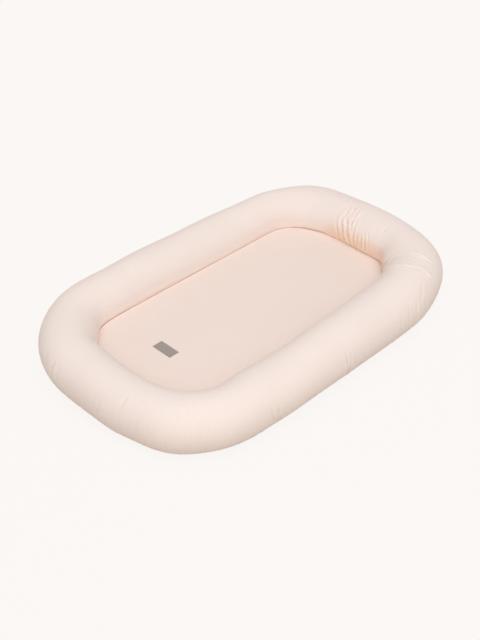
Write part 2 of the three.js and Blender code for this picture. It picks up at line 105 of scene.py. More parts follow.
def length_property(name, text, value, low=0.0):
    return bpy.props.FloatProperty(
        name=name, description=text, default=value, min=low, unit="LENGTH", precision=4
    )


def amount_property(name, text, value):
    return bpy.props.FloatProperty(name=name, description=text, default=value, subtype="FACTOR")


def angle_property(name, text, degrees):
    return bpy.props.FloatProperty(
        name=name, description=text, default=math.radians(degrees), unit="ROTATION"
    )


def colour_property(name, text, value):
    return bpy.props.FloatVectorProperty(
        name=name, description=text, default=value, size=3, min=0.0, max=1.0, subtype="COLOR"
    )


class BolsterSettings(bpy.types.PropertyGroup):
    """The stuffed ring, the roll inside it and the cloth round it."""

    width: length_property("Width", "How wide the bolster is seen from above", 0.105)
    height: length_property("Height", "How high the bolster stands", CAD_HIGH.z - CAD_LOW.z)
    pressed: length_property("Pressed in", "How far the floor presses in its underside", 0.006)
    start_inset: length_property("Slack start", "How much smaller it is before it is stuffed", 0.0006)
    puff_limit: length_property("Most puff", "How far stuffing may move a point", 0.006)
    overhang: length_property("Overhang", "Height above which it bulges over the mattress", 0.0375)
    overlap: length_property("Overlap", "How far it bulges over the mattress all round", 0.0013)
    lump: length_property("Lumps", "How uneven the stuffing is", 0.0011)
    liner_inset: length_property("Liner inset", "From the cover to its stuffed liner", 0.0054)
    filling_inset: length_property("Filling inset", "From the cover to the filling", 0.0068)
    end_gap: length_property("End gap", "Between the two ends of the roll", 0.003)
    end_depth: length_property("End depth", "How far the roll's ends are domed", 0.025)
    rib_pitch: length_property("Rib pitch", "From one rib of the cloth to the next", 0.0036)
    colour: colour_property("Cloth", "Ribbed blush cotton", (0.921, 0.812, 0.764))


class MattressSettings(bpy.types.PropertyGroup):
    """The foam mattress, its cover and the panel under it."""

    gap: length_property("Gap", "Between its sides and the bolster", 0.0003)
    edge: length_property("Soft edge", "How wide the rounded upper edge is", 0.0018)
    rise: length_property("Rise", "How far its far edge is squeezed up", 0.0030)
    puff_limit: length_property("Most puff", "How far its filling may lift the cover", 0.0005)
    drawn_in: length_property("Drawn in", "How far the sides slope in below the seam", 0.009)
    cloth: length_property("Cloth", "Thickness of the cover", 0.001)
    foam_inset: length_property("Foam inset", "From the cover's outside to the foam", 0.0014)
    colour: colour_property("Cloth colour", "Plain blush cotton", (0.880, 0.746, 0.685))


class TrimSettings(bpy.types.PropertyGroup):
    """Zips, label and stitches."""

    slot_width: length_property("Slot width", "The opening in the cloth over a zip", 0.0096)
    slot_spare: length_property("Slot spare", "How far the slot runs past the coil's ends", 0.005)
    tape_width: length_property("Tape width", "Each of a zip's two tapes", 0.0075)
    tape_thickness: length_property("Tape thickness", "Woven zip tape", 0.0008)
    tape_depth: length_property("Tape depth", "From the cloth's outside down to the tape", 0.0015)
    tooth_pitch: length_property("Tooth pitch", "From one turn of the coil to the next", 0.00125)
    stitch_length: length_property("Stitch", "Length of one stitch", 0.0021)
    stitch_pitch: length_property("Stitch pitch", "From one stitch to the next", 0.0030)
    thread: length_property("Thread", "Thickness of the sewing thread", 0.00045)
    tape_colour: colour_property("Tape", "Woven zip tape", (0.85, 0.70, 0.61))
    coil_colour: colour_property("Coil", "Nylon coil", (0.86, 0.76, 0.68))
    metal_colour: colour_property("Slider", "Satin metal", (0.66, 0.63, 0.60))
    label_colour: colour_property("Label", "Bare woven label", (0.370, 0.321, 0.293))


class StageSettings(bpy.types.PropertyGroup):
    """Camera, lamps and floor."""

    azimuth: angle_property("Azimuth", "Camera round the nest", -45.32)
    elevation: angle_property("Elevation", "Camera above the floor", 36.90)
    distance: length_property("Distance", "Camera to the middle of the nest", 1.9546)
    lens: bpy.props.FloatProperty(
        name="Lens", description="Focal length", default=57.7, min=1.0, unit="CAMERA"
    )
    shift_x: bpy.props.FloatProperty(name="Shift X", description="Framing to the side", default=-0.0161)
    shift_y: bpy.props.FloatProperty(name="Shift Y", description="Framing up or down", default=0.0019)
    dome: bpy.props.FloatProperty(name="Dome", description="Light from all round", default=0.49)
    key: bpy.props.FloatProperty(name="Key", description="Soft light from above", default=1.46)
    fill: bpy.props.FloatProperty(name="Fill", description="Soft box before the nest", default=3.6)
    key_width: angle_property("Key width", "How wide the soft light is", 75.0)
    floor_colour: colour_property("Floor", "Paper floor as the camera sees it", (0.965, 0.935, 0.915))
    floor_shaded: amount_property("Floor shade", "How much of the floor's shade the camera sees", 0.07)
    floor_bounce: colour_property("Floor bounce", "Floor as it lights the nest", (0.69, 0.62, 0.555))


# Shader maths


class Value:
    """A shader socket, on which arithmetic adds Math nodes."""

    def __init__(self, graph, socket):
        self.graph = graph
        self.socket = socket

    def _math(self, operation, *values):
        node = self.graph.node("ShaderNodeMath", {"operation": operation}, *values)
        return Value(self.graph, node.outputs[0])

    def __add__(self, other):
        return self._math("ADD", self, other)

    def __sub__(self, other):
        return self._math("SUBTRACT", self, other)

    def __rsub__(self, other):
        return self._math("SUBTRACT", other, self)

    def __mul__(self, other):
        return self._math("MULTIPLY", self, other)

    __radd__ = __add__

    def sine(self):
        return self._math("SINE", self)

    def absolute(self):
        return self._math("ABSOLUTE", self)

    def or_more(self, other):
        return self._math("MAXIMUM", self, other)

    def smooth(self, low, high):
        """From 0 at one value to 1 at another, with soft ends."""
        settings = {"interpolation_type": "SMOOTHSTEP"}
        node = self.graph.node("ShaderNodeMapRange", settings, self, low, high, 0.0, 1.0)
        return Value(self.graph, node.outputs[0])


class Graph:
    """The nodes of a material or of the world."""

    def __init__(self, owner, output):
        owner.use_nodes = True
        self.owner = owner
        self.tree = owner.node_tree
        self.tree.nodes.clear()
        self.output = self.node(output)

    def node(self, kind, settings=None, *values, **named):
        """A node of a kind, its settings first, then the values or links of its sockets."""
        made = self.tree.nodes.new(kind)
        for key, value in (settings or {}).items():
            setattr(made, key, value)
        pairs = [(made.inputs[i], value) for i, value in enumerate(values)]
        pairs += [(self._socket(made, key), value) for key, value in named.items()]
        for socket, value in pairs:
            self.put(socket, value)
        return made

    def _socket(self, node, key):
        wanted = key.replace("_", " ").lower()
        return next(s for s in node.inputs if s.name.lower() == wanted and s.enabled)

    def put(self, socket, value):
        if isinstance(value, Value):
            value = value.socket
        if isinstance(value, bpy.types.NodeSocket):
            self.tree.links.new(value, socket)
        elif socket.type == "RGBA" and len(value) == 3:
            socket.default_value = (*value, 1.0)
        else:
            socket.default_value = value

    def parts(self, vector):
        node = self.node("ShaderNodeSeparateXYZ", None, vector)
        return [Value(self, socket) for socket in node.outputs]

    def place(self):
        """Object coordinates."""
        return self.node("ShaderNodeTexCoord").outputs["Object"]

    def cloth_uv(self):
        """Along and across the cloth, in metres."""
        return self.node("ShaderNodeUVMap", {"uv_map": CLOTH_UV}).outputs[0]

    def mapped(self, vector, scale):
        return self.node("ShaderNodeMapping", None, Vector=vector, Scale=scale).outputs[0]

    def noise(self, vector, scale, detail=2.0, roughness=0.5):
        made = self.node(
            "ShaderNodeTexNoise", None, Vector=vector, Scale=scale, Detail=detail, Roughness=roughness
        )
        return Value(self, made.outputs[0])

    def cells(self, vector, scale):
        made = self.node("ShaderNodeTexVoronoi", None, Vector=vector, Scale=scale)
        return Value(self, made.outputs["Distance"])

    def mix(self, share, first, second):
        """From one colour to another by a share."""
        made = self.node("ShaderNodeMix", {"data_type": "RGBA"}, Factor=share, A=first, B=second)
        return next(socket for socket in made.outputs if socket.enabled)

    def bump(self, height, distance, strength=1.0):
        made = self.node("ShaderNodeBump", None, Strength=strength, Distance=distance, Height=height)
        return made.outputs[0]

    def seen_directly(self):
        """1 for what the camera sees, itself or in metal or glass, and 0 for light that bounces."""
        path = self.node("ShaderNodeLightPath")
        camera, glossy, through = (
            Value(self, path.outputs[f"Is {kind} Ray"]) for kind in ("Camera", "Glossy", "Transmission")
        )
        return camera.or_more(glossy).or_more(through)

    def finish(self, shader):
        self.put(self.output.inputs["Surface"], shader.outputs[0])
        return self.owner

    def surface(self, **sockets):
        return self.finish(self.node("ShaderNodeBsdfPrincipled", None, **sockets))


def material_graph(name):
    return Graph(bpy.data.materials.new(name), "ShaderNodeOutputMaterial")


def tinted(colour, share):
    """A colour times a share, kept below white."""
    return tuple(min(channel * share, 1.0) for channel in colour)


def threads(along, across, pitch):
    """Plain weave: the height of crossing threads, from 0 to 1."""
    turn = 2 * math.pi / pitch
    warp = (along * turn).sine()
    weft = (across * turn).sine()
    return warp * weft * 0.25 + warp.absolute() * 0.25 + 0.5


# Materials


def ribbed_cotton(settings):
    """Blush cotton with fine ribs round the bolster, a dry sheen, a loose fuzz, painted shade in its rib
    valleys and painted light and shade by the mattress.
    """
    wander, yarn, relief = 1.2 * MM, 0.7 * MM, 0.42 * MM
    # Along the ring: the two halves of the head end. Round it: where the cloth is tucked down against the
    # mattress, a band of painted warm light that turns to painted shade at the head, and how much further
    # round that band is at the head.
    left_of_head, right_of_head = (0.02, 0.10), (1.74, 1.84)
    tuck_starts, tuck_ends, head_lower = (0.142, 0.168), (0.185, 0.21), 0.018
    g = material_graph("ribbed_blush_cotton")
    uv = g.cloth_uv()
    along, across, _ = g.parts(uv)
    place = g.place()
    drift = g.noise(g.mapped(uv, (30.0, 8.0, 1.0)), 1.0, 3.0)
    rib = ((along + (drift - 0.5) * wander) * (2 * math.pi / settings.rib_pitch)).sine() * 0.5 + 0.5
    weave = threads(along, across, yarn)
    fuzz = g.noise(place, 900.0, 4.0, 0.65)
    cloudy = g.noise(place, 9.0, 3.0)
    painted_rib_valley_shade = (1.0 - rib).smooth(0.35, 1.0)
    base = g.mix(cloudy.smooth(0.3, 0.7), settings.colour, tinted(settings.colour, 0.975))
    # The rib valleys are painted darker: painted shade in the grooves.
    deep = (settings.colour[0] * 0.955, settings.colour[1] * 0.915, settings.colour[2] * 0.89)
    base = g.mix(painted_rib_valley_shade * 0.4, base, deep)
    base = g.mix(fuzz.smooth(0.45, 0.8) * 0.10, base, (0.97, 0.93, 0.90))
    head = 1.0 - along.smooth(*left_of_head) + along.smooth(*right_of_head)
    crevice_paint_share = (across + head * head_lower).smooth(*tuck_starts) - across.smooth(*tuck_ends)
    # Painted light and shade in the crevice: lighter and warmer along the sides, darker and more orange at
    # the head end.
    painted_crevice_light_and_shade = g.mix(head, (0.985, 0.86, 0.79), (0.90, 0.69, 0.56))
    base = g.mix(crevice_paint_share, base, painted_crevice_light_and_shade)
    height = rib * 0.5 + weave * 0.22 + fuzz * 0.3
    return g.surface(
        Base_Color=base,
        Roughness=0.90 + fuzz * 0.06,
        Normal=g.bump(height, relief, 0.8),
        Sheen_Weight=0.04,
        Sheen_Roughness=0.55,
        Sheen_Tint=(1.0, 0.97, 0.94),
        Specular_IOR_Level=0.25,
    )


def plain_cotton(settings):
    """The mattress's smooth plain weave, with a warm painted band round its rim: painted light, turning to
    painted shade on the near side.
    """
    yarn, relief = 0.9 * MM, 0.22 * MM
    near_side_shadow_span, rim_painted_shade_band = (-0.13, -0.06), (0.001, 0.010)
    g = material_graph("plain_blush_cotton")
    place = g.place()
    x, y, z = g.parts(place)
    weave = threads(x, y + z, yarn)
    slub = g.noise(g.mapped(place, (260.0, 2400.0, 900.0)), 1.0, 2.0)
    slub_across = g.noise(g.mapped(place, (2400.0, 260.0, 900.0)), 1.0, 2.0)
    fuzz = g.noise(place, 1100.0, 4.0, 0.6)
    cloudy = g.noise(place, 7.0, 3.0)
    base = g.mix(cloudy.smooth(0.3, 0.7), settings.colour, tinted(settings.colour, 0.982))
    deep = (settings.colour[0] * 0.955, settings.colour[1] * 0.92, settings.colour[2] * 0.90)
    base = g.mix((slub + slub_across).smooth(0.9, 1.35) * 0.45, base, deep)
    inset, _, _ = g.parts(g.cloth_uv())
    # A warm band of painted light round the rim, where the mattress meets the bolster, darker on the near
    # side as a painted shadow of the near bolster.
    near = 1.0 - y.smooth(*near_side_shadow_span)
    rim = g.mix(near, (0.96, 0.78, 0.69), (0.86, 0.685, 0.585))
    base = g.mix(1.0 - inset.smooth(*rim_painted_shade_band), base, rim)
    height = weave * 0.5 + (slub + slub_across) * 0.35 + fuzz * 0.25
    return g.surface(
        Base_Color=base,
        Roughness=0.88 + fuzz * 0.07,
        Normal=g.bump(height, relief, 0.7),
        Sheen_Weight=0.15,
        Sheen_Roughness=0.5,
        Sheen_Tint=(1.0, 0.96, 0.93),
        Specular_IOR_Level=0.25,
    )


def liner_cloth():
    """White non-woven casing, speckled with its bonded points."""
    relief = 0.3 * MM
    g = material_graph("liner_cloth")
    place = g.place()
    points = g.cells(place, 480.0)
    fibres = g.noise(g.mapped(place, (900.0, 260.0, 900.0)), 1.0, 4.0, 0.7)
    base = g.mix(fibres.smooth(0.35, 0.7), (0.90, 0.885, 0.85), (0.84, 0.82, 0.78))
    base = g.mix(1.0 - points.smooth(0.1, 0.32), base, (0.79, 0.77, 0.73))
    height = points.smooth(0.05, 0.4) * 0.6 + fibres * 0.4
    return g.surface(Base_Color=base, Roughness=0.9, Normal=g.bump(height, relief, 0.8))


def fibre_fill():
    """Loose white polyester fibre."""
    relief = 2 * MM
    g = material_graph("fibre_fill")
    place = g.place()
    clumps = g.noise(place, 60.0, 6.0, 0.7)
    strands = g.noise(g.mapped(place, (700.0, 90.0, 700.0)), 1.0, 5.0, 0.75)
    base = g.mix(clumps.smooth(0.3, 0.7), (0.95, 0.94, 0.92), (0.86, 0.85, 0.83))
    height = clumps * 0.7 + strands * 0.4
    return g.surface(Base_Color=base, Roughness=1.0, Normal=g.bump(height, relief, 0.9), Sheen_Weight=0.3)


def open_foam():
    """Cream open-cell foam, with painted shade in its pores."""
    relief = 1 * MM
    g = material_graph("open_cell_foam")
    place = g.place()
    small = g.cells(place, 900.0)
    large = g.cells(place, 260.0)
    # The pores are painted darker: painted shade in the holes of the foam.
    base = g.mix(small.smooth(0.15, 0.6), (0.70, 0.62, 0.42), (0.91, 0.84, 0.65))
    base = g.mix((1.0 - large.smooth(0.05, 0.2)) * 0.6, base, (0.62, 0.54, 0.36))
    height = small * 0.6 + large.smooth(0.0, 0.3) * 0.6
    return g.surface(Base_Color=base, Roughness=0.95, Normal=g.bump(height, relief, 0.8))


def woven_tape(settings):
    """Twill zip tape: slanting ribs that turn back in the middle, with a firm selvedge."""
    slant, twill_pitch, relief = 5.5 * MM, 1.1 * MM, 0.25 * MM
    g = material_graph("woven_zip_tape")
    along, across, _ = g.parts(g.cloth_uv())
    slanted = along + (across - 0.5).absolute() * slant
    twill = (slanted * (2 * math.pi / twill_pitch)).sine() * 0.5 + 0.5
    edge = (across - 0.5).absolute().smooth(0.40, 0.47)
    fuzz = g.noise(g.place(), 1500.0, 3.0)
    dark = tinted(settings.tape_colour, 0.80)
    base = g.mix(twill * 0.8, dark, settings.tape_colour)
    base = g.mix(edge * 0.5, base, tinted(settings.tape_colour, 1.06))
    height = twill * 0.6 + edge * 0.5 + fuzz * 0.2
    return g.surface(
        Base_Color=base, Roughness=0.82, Normal=g.bump(height, relief, 0.8), Sheen_Weight=0.2
    )


def nylon(settings):
    """Satin nylon coil with faint draw marks."""
    relief = 0.04 * MM
    g = material_graph("nylon_coil")
    place = g.place()
    marks = g.noise(g.mapped(place, (300.0, 3000.0, 3000.0)), 1.0, 3.0)
    cloudy = g.noise(place, 120.0, 2.0)
    base = g.mix(cloudy, settings.coil_colour, tinted(settings.coil_colour, 0.92))
    return g.surface(
        Base_Color=base,
        Roughness=0.34 + marks * 0.16,
        Normal=g.bump(marks, relief, 0.5),
        Specular_IOR_Level=0.5,
    )


def satin_metal(settings):
    """Painted zinc with a satin face, rubbed bright in places."""
    relief = 0.03 * MM
    g = material_graph("satin_slider_metal")
    place = g.place()
    brushed = g.noise(g.mapped(place, (400.0, 5000.0, 5000.0)), 1.0, 3.0)
    spots = g.noise(place, 900.0, 4.0, 0.7)
    rubbed = g.noise(place, 260.0, 3.0).smooth(0.55, 0.75)
    base = g.mix(rubbed * 0.7, settings.metal_colour, (0.80, 0.78, 0.75))
    return g.surface(
        Base_Color=base,
        Metallic=0.65 + rubbed * 0.3,
        Roughness=0.28 + brushed * 0.14 + spots * 0.08,
        Normal=g.bump(spots * 0.5 + brushed * 0.5, relief, 0.5),
    )


def satin_label(settings):
    """A bare woven label with tight ribs across it."""
    rib_pitch, yarn_pitch, relief = 0.55 * MM, 0.42 * MM, 0.15 * MM
    g = material_graph("woven_label")
    along, across, _ = g.parts(g.cloth_uv())
    ribs = (across * (2 * math.pi / rib_pitch)).sine() * 0.5 + 0.5
    yarns = (along * (2 * math.pi / yarn_pitch)).sine() * 0.5 + 0.5
    fuzz = g.noise(g.place(), 1600.0, 3.0)
    cloudy = g.noise(g.place(), 160.0, 3.0)
    base = g.mix(ribs * 0.7, tinted(settings.label_colour, 0.84), tinted(settings.label_colour, 1.08))
    base = g.mix(cloudy.smooth(0.35, 0.7) * 0.5, base, tinted(settings.label_colour, 0.9))
    height = ribs * 0.5 + yarns * 0.3 + fuzz * 0.2
    return g.surface(
        Base_Color=base,
        Roughness=0.62 + ribs * 0.12,
        Normal=g.bump(height, relief, 0.8),
        Sheen_Weight=0.1,
    )


def sewing_thread(name, colour):
    """Twisted thread."""
    twist_pitch, relief = 0.5 * MM, 0.08 * MM
    g = material_graph(name)
    x, y, z = g.parts(g.place())
    twist = ((x + y + z) * (2 * math.pi / twist_pitch)).sine() * 0.5 + 0.5
    base = g.mix(twist, tinted(colour, 0.8), colour)
    return g.surface(Base_Color=base, Roughness=0.7, Normal=g.bump(twist, relief, 0.8), Sheen_Weight=0.2)


def paper_floor(settings):
    """A floor that is seen pale and faintly shaded, itself or in metal, and throws less light back."""
    relief = 0.2 * MM
    g = material_graph("paper_floor")
    grain = g.noise(g.place(), 40.0, 4.0)
    seen = g.seen_directly()
    base = g.mix(seen, settings.floor_bounce, tinted(settings.floor_colour, settings.floor_shaded))
    glow = g.mix(seen, (0.0, 0.0, 0.0), tinted(settings.floor_colour, 1.0 - settings.floor_shaded))
    return g.surface(
        Base_Color=base,
        Roughness=0.95,
        Normal=g.bump(grain, relief, 0.2),
        Specular_IOR_Level=0.0,
        Emission_Color=glow,
        Emission_Strength=1.0,
    )


# Plans and sections


ARC_STEPS = 24
RUN_STEPS = 48


def soft_step(values, low, high):
    """From 0 to 1 between two values, with soft ends."""
    share = np.clip((values - low) / (high - low), 0, 1)
    return share * share * (3 - 2 * share)


def rounded_outline(half_length, half_width, radii):
    """Points round a rounded rectangle, anticlockwise from the head end. Every call has as many."""
    sides = ((1, 1), (-1, 1), (-1, -1), (1, -1))
    arcs = []
    for corner, ((side_x, side_y), radius) in enumerate(zip(sides, radii)):
        angles = (corner + np.linspace(0, 1, ARC_STEPS + 1)) * math.pi / 2
        x = side_x * (half_length - radius) + radius * np.cos(angles)
        y = side_y * (half_width - radius) + radius * np.sin(angles)
        arcs.append(np.column_stack([x, y]))
    points = []
    for arc, following in zip(arcs, arcs[1:] + arcs[:1]):
        points.append(arc)
        shares = np.linspace(0, 1, RUN_STEPS + 2)[1:-1, None]
        points.append(arc[-1] * (1 - shares) + following[0] * shares)
    return np.vstack(points)


def closed_lengths(points):
    """How far along a closed run of points each lies, with the whole length last."""
    steps = np.linalg.norm(np.diff(points, axis=0, append=points[:1]), axis=1)
    return np.concatenate([[0], np.cumsum(steps)])


def looked_up(places, keys, closed_rows):
    """Rows between the given ones, at places along them."""
    return np.column_stack([np.interp(places, keys, column) for column in closed_rows.T])


def smoothed(values, spread):
    """A closed run of values, smoothed over a number of them."""
    reach = int(3 * spread)
    steps = np.arange(-reach, reach + 1)
    weights = np.exp(-0.5 * (steps / spread) ** 2)
    weights /= weights.sum()
    padded = np.concatenate([values[-reach:], values, values[:reach]])
    return np.column_stack([np.convolve(padded[:, i], weights, "valid") for i in range(values.shape[1])])


class Plan:
    """The bolster seen from above: matching points on its outside and round its well."""

    SAMPLES = 1600
    SPREAD = 9.0

    # Where the stuffed ring strays from its plain outline, in millimetres: a place on it, how far round
    # it this reaches, how far its outside and its well side move outwards there, and how far it rises.
    STRAYS = (
        (205, 238, 80, -11, 2, 0),
        (-75, 250, 70, 4, 2, 0),
        (375, 170, 50, 16, 0, 0),
        (392, 10, 100, 8, 0, 0),
        (350, -180, 45, 6, 0, 0),
        (235, -245, 70, -4, 0, 0),
        (-372, -108, 34, -7, 0, 0),
        (-245, -240, 65, -5, 0, 0),
        (-386, 50, 70, -1, 0, 0),
        (-330, 220, 50, 1, 0, 0),
        (385, 120, 60, 0, -12, 0),
        (340, 215, 45, 0, -5, 0),
        (400, -20, 80, 0, -8, 0),
        (362, -170, 62, 0, -18, 2),
        (232, -250, 60, 0, -19, 7),
        (100, -250, 60, 0, -7, 1),
        (0, -250, 60, 0, -3, 0),
        (-190, -250, 40, 0, -5, 0),
        (-390, -20, 55, 0, 5, 0),
        (-345, 190, 64, 0, -10, 0),
    )

    def __init__(self, bolster):
        half = Vector((CAD_HIGH.x, CAD_HIGH.y))
        well_half = half - Vector((bolster.width, bolster.width))
        outer_radii = [share * 2 * half.y for share in OUTER_RADIUS_SHARES]
        well_radii = [share * 2 * well_half.y for share in WELL_RADIUS_SHARES]
        outer = rounded_outline(half.x, half.y, outer_radii)
        well = rounded_outline(well_half.x, well_half.y, well_radii)
        meets = np.array([half.x, (outer_radii[3] - outer_radii[0]) / 2])
        first = np.argmin(np.linalg.norm(outer - meets, axis=1))
        both = np.roll(np.hstack([outer, well]), -first, axis=0)
        along = closed_lengths((both[:, :2] + both[:, 2:]) / 2)
        self.length = along[-1]
        self.keys = np.linspace(0, self.length, self.SAMPLES + 1)
        even = looked_up(self.keys[:-1], along, np.vstack([both, both[:1]]))
        even = smoothed(even, self.SPREAD)
        rows = np.hstack([even, self.strays(even)])
        self.rows = np.vstack([rows, rows[:1]])

    def strays(self, even):
        moves = np.zeros((len(even), 3))
        for x, y, reach, *amounts in self.STRAYS:
            nearest = np.argmin(np.linalg.norm(even[:, :2] - np.array([x, y]) * MM, axis=1))
            gap = self.wrapped(self.keys[:-1] - self.keys[nearest])
            moves += np.exp(-((gap / (reach * MM)) ** 2))[:, None] * np.array(amounts) * MM
        return moves

    def wrapped(self, gaps):
        """Distances along the ring, taken the shorter way round."""
        return np.mod(gaps + self.length / 2, self.length) - self.length / 2

    def surface(self, along, turn, bolster, inset=0.0, share=1.0, strayed=True):
        """Points on the bolster. turn goes once round the section from 0 at the outside over the top."""
        rows = looked_up(np.mod(along, self.length), self.keys, self.rows)
        outer, well, strays = rows[:, :2], rows[:, 2:4], rows[:, 4:] * float(strayed)
        middle = (outer + well) / 2
        across = outer - well
        half = np.linalg.norm(across, axis=1) / 2
        across = across / (2 * half)[:, None]
        radius_up = (bolster.height + bolster.pressed) / 2
        centre = bolster.height - radius_up
        angle = turn * 2 * math.pi
        up = centre + (radius_up - inset) * np.sin(angle) * share
        up = pressed_flat(up, inset * share + centre * (1 - share), FLOOR_BEND)
        bulging = soft_step(up, bolster.overhang - BULGE_RAMP, bolster.overhang)
        out = (half - inset) * np.cos(angle)
        out = out + strays[:, 0] * (1 + np.cos(angle)) / 2
        out = out + (strays[:, 1] - bolster.overlap) * (1 - np.cos(angle)) / 2 * bulging
        up = up + strays[:, 2] * np.clip(np.sin(angle), 0, 1) * share
        flat = middle + across * (out * share)[:, None]
        return np.column_stack([flat, up])


def pressed_flat(heights, floor, rounding):
    """Heights that level out at a floor, with a soft bend."""
    above = heights - floor
    bend = (np.clip(above + rounding, 0, 2 * rounding) ** 2) / (4 * rounding)
    return floor + np.where(above > rounding, above, bend)


class PadPlan:
    """A flat piece seen from above, with the well's corners, grown or shrunk by a margin."""

    def __init__(self, bolster, margin):
        half_x = CAD_HIGH.x - bolster.width + margin
        half_y = CAD_HIGH.y - bolster.width + margin
        well_width = 2 * (half_y - margin)
        radii = [share * well_width + margin for share in WELL_RADIUS_SHARES]
        outline = rounded_outline(half_x, half_y, radii)
        self.outline = np.vstack([outline, outline[:1]])
        self.along = closed_lengths(outline)
        run = len(outline) // 4
        corners = [self.along[corner * run + ARC_STEPS // 2] for corner in range(4)]
        self.corners = [corners[3] - self.along[-1], *corners]
        self.spine = half_x - half_y
        self.half = np.array([half_x, half_y])

    def rim(self, along):
        return looked_up(np.mod(along, self.along[-1]), self.along, self.outline)

    def spread(self, flat):
        """The plan's points for a square grid, and how far in from the outline each lies."""
        ring, turn = concentric(flat)
        rim = self.rim(np.interp(turn, range(5), self.corners))
        spine = np.column_stack([np.clip(rim[:, 0], -self.spine, self.spine), np.zeros(len(rim))])
        share = 1 - (1 - ring) ** 1.5
        points = spine + (rim - spine) * share[:, None]
        return points, np.linalg.norm(rim - points, axis=1)


def concentric(flat):
    """For a square grid: how far out each point's square ring lies, and where on its border it is."""
    centred = flat[:, :2] * 2 - 1
    ring = np.abs(centred).max(axis=1)
    border = centred / np.maximum(ring, TINY)[:, None]
    x, y = border[:, 0], border[:, 1]
    right, top, left = x >= 1 - TINY, y >= 1 - TINY, x <= -1 + TINY
    turn = np.where(
        right & (np.abs(y) < 1), (y + 1) / 2,
        np.where(top, 1 + (1 - x) / 2, np.where(left, 2 + (1 - y) / 2, 3 + (x + 1) / 2)),
    )
    return ring, turn


class ZipPlace:
    """Where a zip lies, found from its packed tapes: its middle line on the cloth's outside, the
    direction across it and the direction out of it."""

    def __init__(self, prefix, trim):
        upper, lower = (sum(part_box(f"{prefix}_tape_{side}"), Vector()) / 2 for side in ("upper", "lower"))
        low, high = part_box(f"{prefix}_coil_upper")
        middle = (upper + lower) / 2
        self.prefix = prefix
        self.across = (upper - lower).normalized()
        self.out = self.across.cross(Vector((1, 0, 0)))
        lift = trim.tape_depth + trim.tape_thickness / 2
        self.centre = Vector((0, middle.y, middle.z)) + self.out * lift
        self.tape_middle = (upper - lower).length / 2
        self.low, self.high = low.x, high.x
        tape_low, tape_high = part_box(f"{prefix}_tape_upper")
        self.tape_low, self.tape_high = tape_low.x, tape_high.x
        self.slot_low, self.slot_high = self.low - trim.slot_spare, self.high + trim.slot_spare
        self.slot_half = trim.slot_width / 2

    def local(self, points):
        """How far each point lies along X, across the zip and out of the cloth."""
        rel = np.asarray(points, dtype=float) - np.array(self.centre)
        return rel[:, 0], rel @ np.array(self.across), rel @ np.array(self.out)

    def world(self, x, across, out):
        rows = np.outer(across, self.across) + np.outer(out, self.out) + np.array(self.centre)
        rows[:, 0] = x
        return rows

    def beyond_slot(self, x, across):
        """How far outside the slot's edge, seen square on."""
        past_end = np.maximum(np.maximum(x - self.slot_high, self.slot_low - x), 0)
        past_side = np.maximum(np.abs(across) - self.slot_half, 0)
        return np.hypot(past_end, past_side)

    def inside(self, point):
        rel = Vector(point) - self.centre
        return self.slot_low < rel.x < self.slot_high and abs(rel.dot(self.across)) < self.slot_half


# Meshes


def grid_mesh(name, columns, rows):
    """A flat grid over the unit square, from which a piece is shaped."""
    bm = bmesh.new()
    bmesh.ops.create_grid(bm, x_segments=columns, y_segments=rows, size=0.5)
    bmesh.ops.translate(bm, verts=bm.verts, vec=(0.5, 0.5, 0))
    return mesh_from(bm, name)


def mesh_from(bm, name):
    mesh = bpy.data.meshes.new(name)
    bm.to_mesh(mesh)
    bm.free()
    return mesh


def points_of(mesh):
    values = np.empty(len(mesh.vertices) * 3)
    mesh.vertices.foreach_get("co", values)
    return values.reshape(-1, 3)


def move_points(mesh, points):
    mesh.vertices.foreach_set("co", np.ascontiguousarray(points, dtype=float).ravel())
    mesh.update()


def normals_of(mesh):
    values = np.empty(len(mesh.vertices) * 3)
    mesh.vertices.foreach_get("normal", values)
    return values.reshape(-1, 3)


def corner_points(mesh):
    """The vertex at each corner of each face."""
    corners = np.empty(len(mesh.loops), dtype=int)
    mesh.loops.foreach_get("vertex_index", corners)
    return corners


def set_uv(mesh, at_points):
    """Writes a UV map in metres from one pair per vertex."""
    layer = mesh.uv_layers.get(CLOTH_UV) or mesh.uv_layers.new(name=CLOTH_UV)
    pairs = np.ascontiguousarray(at_points[corner_points(mesh)], dtype=float)
    layer.data.foreach_set("uv", pairs.ravel())


def uv_of(mesh):
    """One UV pair per vertex."""
    pairs = np.empty(len(mesh.loops) * 2)
    mesh.uv_layers[CLOTH_UV].data.foreach_get("uv", pairs)
    values = np.zeros((len(mesh.vertices), 2))
    values[corner_points(mesh)] = pairs.reshape(-1, 2)
    return values


def edit(mesh, change):
    """Runs a change on the mesh's bmesh."""
    bm = bmesh.new()
    bm.from_mesh(mesh)
    change(bm)
    bm.to_mesh(mesh)
    bm.free()


def merged(mesh):
    edit(mesh, lambda bm: bmesh.ops.remove_doubles(bm, verts=bm.verts, dist=MERGE_GAP))


def facing_out(mesh):
    edit(mesh, lambda bm: bmesh.ops.recalc_face_normals(bm, faces=bm.faces))


def turned_over(mesh):
    edit(mesh, lambda bm: bmesh.ops.reverse_faces(bm, faces=bm.faces))


def add_object(mesh, material=None, smooth=True):
    made = bpy.data.objects.new(mesh.name, mesh)
    bpy.context.scene.collection.objects.link(made)
    if material:
        mesh.materials.append(material)
    if smooth:
        mesh.polygons.foreach_set("use_smooth", [True] * len(mesh.polygons))
    return made


def bake_modifiers(made):
    """Replaces the object's mesh by what its modifiers make of it."""
    graph = bpy.context.evaluated_depsgraph_get()
    shaped = made.evaluated_get(graph)
    mesh = bpy.data.meshes.new_from_object(shaped, preserve_all_data_layers=True, depsgraph=graph)
    old = made.data
    made.modifiers.clear()
    made.data = mesh
    name = old.name
    bpy.data.meshes.remove(old)
    mesh.name = name


